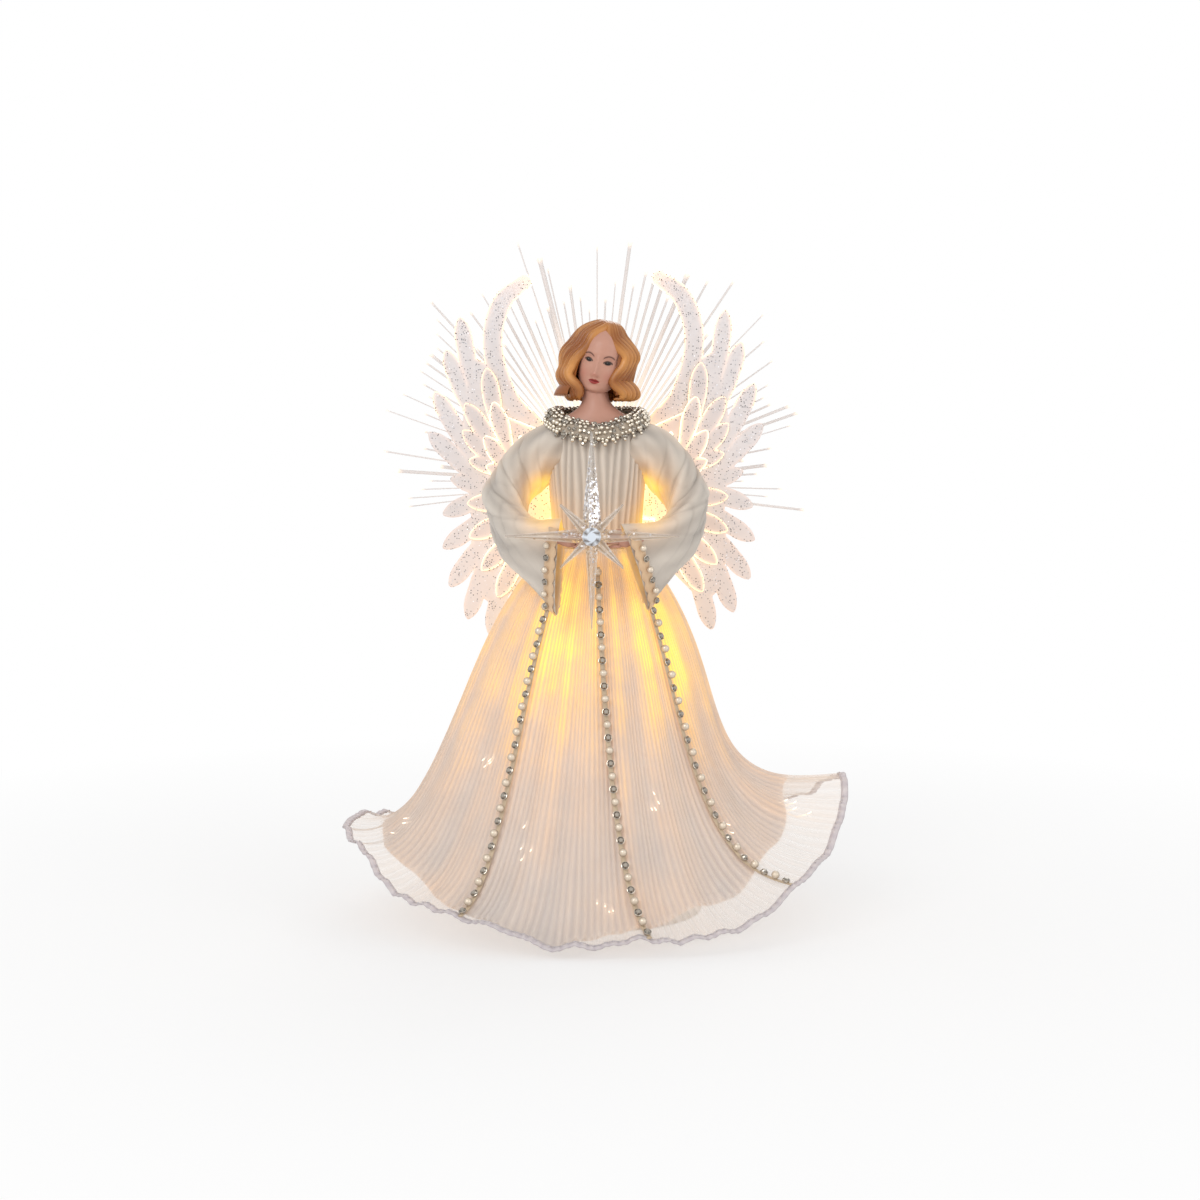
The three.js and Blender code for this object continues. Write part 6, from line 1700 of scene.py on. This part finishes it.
@dataclass
class Fibres:
    """The spray of fibres behind the wings and the strands that light the skirt."""

    skirt: Skirt
    root: float = 222.0
    mouth: float = 35.1
    disc_radius: float = 9.0
    disc_depth: float = 3.0
    length: float = 146.0
    side_length: float = 121.0
    short_share: float = 0.7
    count: int = 38
    spread_deg: float = 196.0
    sweep_deg: float = 15.0
    radius: float = 0.5
    ring_height: float = 152.0
    bundles: int = 14
    bundle_size: int = 4
    stout = ((-93.0, 322.0, 0.6, 1.0), (-32, 345, 1.3, 1.1), (50, 336, 1.2, 1.1))
    stout_back: float = 30.0
    globe_radius: float = 3.4
    round_sides: int = 20
    cone_foot: float = 55.0
    cone_tip: float = 13.0
    cone_height: float = 232.0

    def strand(self, start: np.ndarray, end: np.ndarray, radius: float, sag: float, tip: float = 1.0) -> Form:
        """One strand that shines at its end."""
        shares = np.array([0, 0.25, 0.5, 0.75, 0.955, 0.985, 1.0])
        line = start + np.outer(shares, end - start)
        line[:, 2] -= sag * np.sin(shares * math.pi)
        radii = radius * np.array([1, 1, 1, 1, 1, 1.25 * tip, 0.5 * tip])
        return tube(line, radii, 6, 1.0, (0.13, 1, 0.31), glow=np.array([0.7, 0.5, 0.28, 0.1, 0.06, 0.5, 0.9]))

    def spray(self) -> None:
        """The fan of strands, the disc that they are potted in and the plug behind it."""
        back, forms, random = self.mouth + self.disc_depth, [], np.random.default_rng(5)
        foot = self.disc_radius - 1.5
        for i in range(2 * self.count - 1):
            spot = i / 2
            turn = math.pi / 2 + math.radians(self.spread_deg) * (spot / (self.count - 1) - 0.5)
            row = round(spot) % 2
            sweep = math.radians(self.sweep_deg * (1 + 0.5 * row + 0.3 * (i % 2)))
            whole = self.side_length + (self.length - self.side_length) * max(0.0, math.sin(turn))
            share = 0.5 + 0.5 * math.cos(spot * spot) if i % 2 == 0 else 0.9 * random.random()
            length = whole * (self.short_share + (1 - self.short_share) * share)
            out = np.array([math.cos(turn) * math.cos(sweep), math.sin(sweep), math.sin(turn) * math.cos(sweep)])
            base = np.array([0, back - 0.8 - out[1] * foot, self.root])
            radius, sag = self.radius * (0.65 + 1.5 * random.random() ** 3), 0.8 * random.random()
            forms.append(self.strand(base + out * foot, base + out * length, radius, sag))
        ends = [np.array([x, back + self.stout_back, z]) for x, z, *_ in self.stout]
        for end, (x, z, radius, tip) in zip(ends, self.stout):
            start = np.array([0.0, back - 0.6, self.root]) + unit(np.array([x, 0, z - self.root])) * 7
            forms.append(self.strand(start, end, radius, 0.4, tip))
        tilts = np.linspace(0.05, math.pi - 0.05, 12)
        rows = np.stack([np.sin(tilts), np.cos(tilts)], axis=-1) * self.globe_radius
        forms.append(Form.capped(lathe(rows, self.round_sides, ends[0]), glow=0.75))
        wide, deep = self.disc_radius, self.disc_depth
        rows = ((4.9, -1.0), (4.9, 0.0), (wide, 0.0), (wide, deep - 0.5), (wide - 0.6, deep), (0.5, deep))
        disc = lathe(rows, self.round_sides, (0, self.mouth, self.root), upright=False)
        forms.append(Form.capped(disc, glow=0.35))
        dress(Form.joined(forms).make("fibre_spray_strands", FIBRE.make()), ["fibre_spray"])

    def inside(self) -> None:
        """The strands under the skirt, whose ends come just through the cloth."""
        forms, random = [], np.random.default_rng(8)
        cone = self.cone_foot + (self.cone_tip - self.cone_foot) * self.ring_height / self.cone_height
        for bundle, _ in product(range(self.bundles), range(self.bundle_size)):
            middle = TURN * (bundle + 0.5) / self.bundles
            turn = middle + 0.035 * random.standard_normal()
            share = 0.5 + 0.4 * (bundle * 0.382 % 1) + 0.02 * random.standard_normal()
            start = np.array([(cone + 1) * math.cos(middle), (cone + 1) * math.sin(middle), self.ring_height - 1])
            shares = np.concatenate([np.linspace(0.32, share - 0.03, 12), [share - 0.006, share]])
            turns = middle + (turn - middle) * shares / share
            line = self.skirt.surface(turns, shares, np.array([-3.4] * 12 + [-0.6, 0.45]))
            line = np.concatenate([[start], line, line[-1:] + unit(line[-1:] - line[-2:-1]) * 0.5])
            side = (-math.sin(middle), math.cos(middle), 0.0)
            light = [0.3] * 12 + [0.4, 0.8, 1, 1]
            forms.append(tube(line, np.array([0.3] * 15 + [0.1]), 6, 1.0, side, glow=light))
        corners = ((0.5, -2), (1.7, -2), (1.7, 2), (0.5, 2))
        rows = [(cone + out - 0.18 * up, self.ring_height + up) for out, up in corners]
        forms.append(Form.sheet(lathe(rows, 48), hoop=True, glow=0.1))
        dress(Form.joined(forms).make("skirt_fibres_strands", FIBRE.make()), ["skirt_fibres"])

    def build(self) -> None:
        """Makes the spray and the strands in the skirt."""
        self.spray()
        self.inside()


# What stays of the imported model, the stage and the view


def finish_nodes() -> None:
    """Gives every node that still shows its finish."""
    kinds = (
        (WHITE, ["cone_base", "battery_box", "battery_door", "switch_knob", "wing_bracket", "fibre_lamp_housing"]),
        (WHITE, [f"lamp_socket_{i}" for i in range(1, 5)]),
        (LAMP_GLASS, [f"lamp_{i}" for i in range(1, 5)] + ["fibre_lamp"]),
        (STEEL, ["arm_armature", "contact_lower", "contact_upper"]),
        (STEEL, [f"{side}wing_rivet_{i}" for side in SIDES.values() for i in (1, 2)]),
        (LEAD, ["lamp_lead"]), (BOARD, ["circuit_board"]), (CELL, [f"battery_{i}" for i in (1, 2, 3)]),
    )
    for finish, names in kinds:
        material = finish.make()
        for name in names:
            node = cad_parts[name]
            node.data.materials.clear()
            node.data.materials.append(material)
            LOG.info("%s: %s", name, finish.name)


@dataclass
class Studio:
    """A pale floor, soft lamps, and the camera at the photograph's height and angle."""

    side: float = 1.56
    height: float = 162.0
    distance: float = 1068.0
    elevation_deg: float = 5.0
    lens: float = 61.59
    floor_half: float = 6000.0
    floor_gap: float = 0.2
    lamps = (
        ("key", (-0.9, -1.5, 1.3), 15.0, 1.1),
        ("fill", (1.5, -1.1, 0.7), 6.0, 1.2),
        ("back", (0.4, 1.5, 1.4), 7.0, 1.0),
    )

    def camera(self) -> None:
        """Places the camera."""
        tilt = math.radians(self.elevation_deg)
        data = bpy.data.cameras.new("camera")
        data.lens, data.sensor_width, data.clip_end = self.lens, 36.0, 50.0
        made = bpy.data.objects.new("camera", data)
        spot = (self.side, -self.distance * math.cos(tilt), self.height + self.distance * math.sin(tilt))
        made.location = Vector(spot) * MM
        made.rotation_euler = (math.pi / 2 - tilt, 0, 0)
        bpy.context.scene.collection.objects.link(made)
        bpy.context.scene.camera = made

    def lamp(self, name: str, place: tuple[float, float, float], power: float, size: float) -> None:
        """Adds a soft lamp that faces the object."""
        data = bpy.data.lights.new(name, "AREA")
        data.energy, data.size = power, size
        made = bpy.data.objects.new(name, data)
        made.location = place
        aim = Vector((0, 0, self.height * MM)) - Vector(place)
        made.rotation_euler = aim.to_track_quat("-Z", "Y").to_euler()
        bpy.context.scene.collection.objects.link(made)

    def world(self) -> None:
        """A plain soft sky that looks white behind the object."""
        world = bpy.data.worlds.new("sky")
        bpy.context.scene.world = world
        world.use_nodes = True
        nodes = Nodes(world.node_tree)
        rays = nodes.node("ShaderNodeLightPath").outputs
        glass = nodes.math("ADD", rays["Is Glossy Ray"], rays["Is Transmission Ray"])
        seen = nodes.math("ADD", rays["Is Camera Ray"], glass, True)
        level = nodes.node("ShaderNodeMapRange", {"Value": seen, "To Min": 0.62, "To Max": 1.0}).outputs[0]
        light = world.node_tree.nodes["Background"].inputs
        nodes.put(light["Strength"], level)
        nodes.put(light["Color"], PURE_WHITE)

    def floor(self) -> None:
        """The pale floor, white to the camera but for the object's shadow."""
        shader = Shader("floor")
        shader.set(Base_Color=(0.9, 0.9, 0.9), Roughness=0.9)
        path = shader.node("ShaderNodeLightPath")
        spot = shader.node("ShaderNodeVectorMath", {0: shader.coords}, operation="LENGTH").outputs["Value"]
        fade = {"Value": spot, "From Min": 0.15, "From Max": 0.6, "To Min": 0.55}
        far = shader.node("ShaderNodeMapRange", fade).outputs[0]
        shown = shader.math("MULTIPLY", path.outputs["Is Camera Ray"], far)
        white = shader.node("ShaderNodeEmission", {"Color": PURE_WHITE, "Strength": 1.0}).outputs[0]
        shader.show(shader.node("ShaderNodeMixShader", {0: shown, 1: shader.bsdf.outputs[0], 2: white}).outputs[0])
        half, low = self.floor_half, -self.floor_gap
        corners = np.array([[-half, -half, low], [half, -half, low], [half, half, low], [-half, half, low]])
        made = Form(corners, [(0, 1, 2, 3)], {}).make("floor", shader.material, outwards=False)

    def build(self) -> None:
        """Sets the stage."""
        bpy.context.scene.view_settings.view_transform = "Standard"
        self.camera()
        self.world()
        self.floor()
        for lamp in self.lamps:
            self.lamp(*lamp)


def main() -> None:
    """Builds every piece in order."""
    logging.basicConfig(level=logging.INFO, format="%(message)s")
    Studio().build()
    finish_nodes()
    skirt = Skirt()
    skirt.build()
    SkirtTrims(skirt).build()
    Bodice().build()
    Sleeve(1, -9.0, 0.6).build()
    Sleeve(-1, 13.0, 3.0).build()
    Bust().build()
    Star().build()
    Wings().build()
    Fibres(skirt).build()


if __name__ == "__main__":
    main()
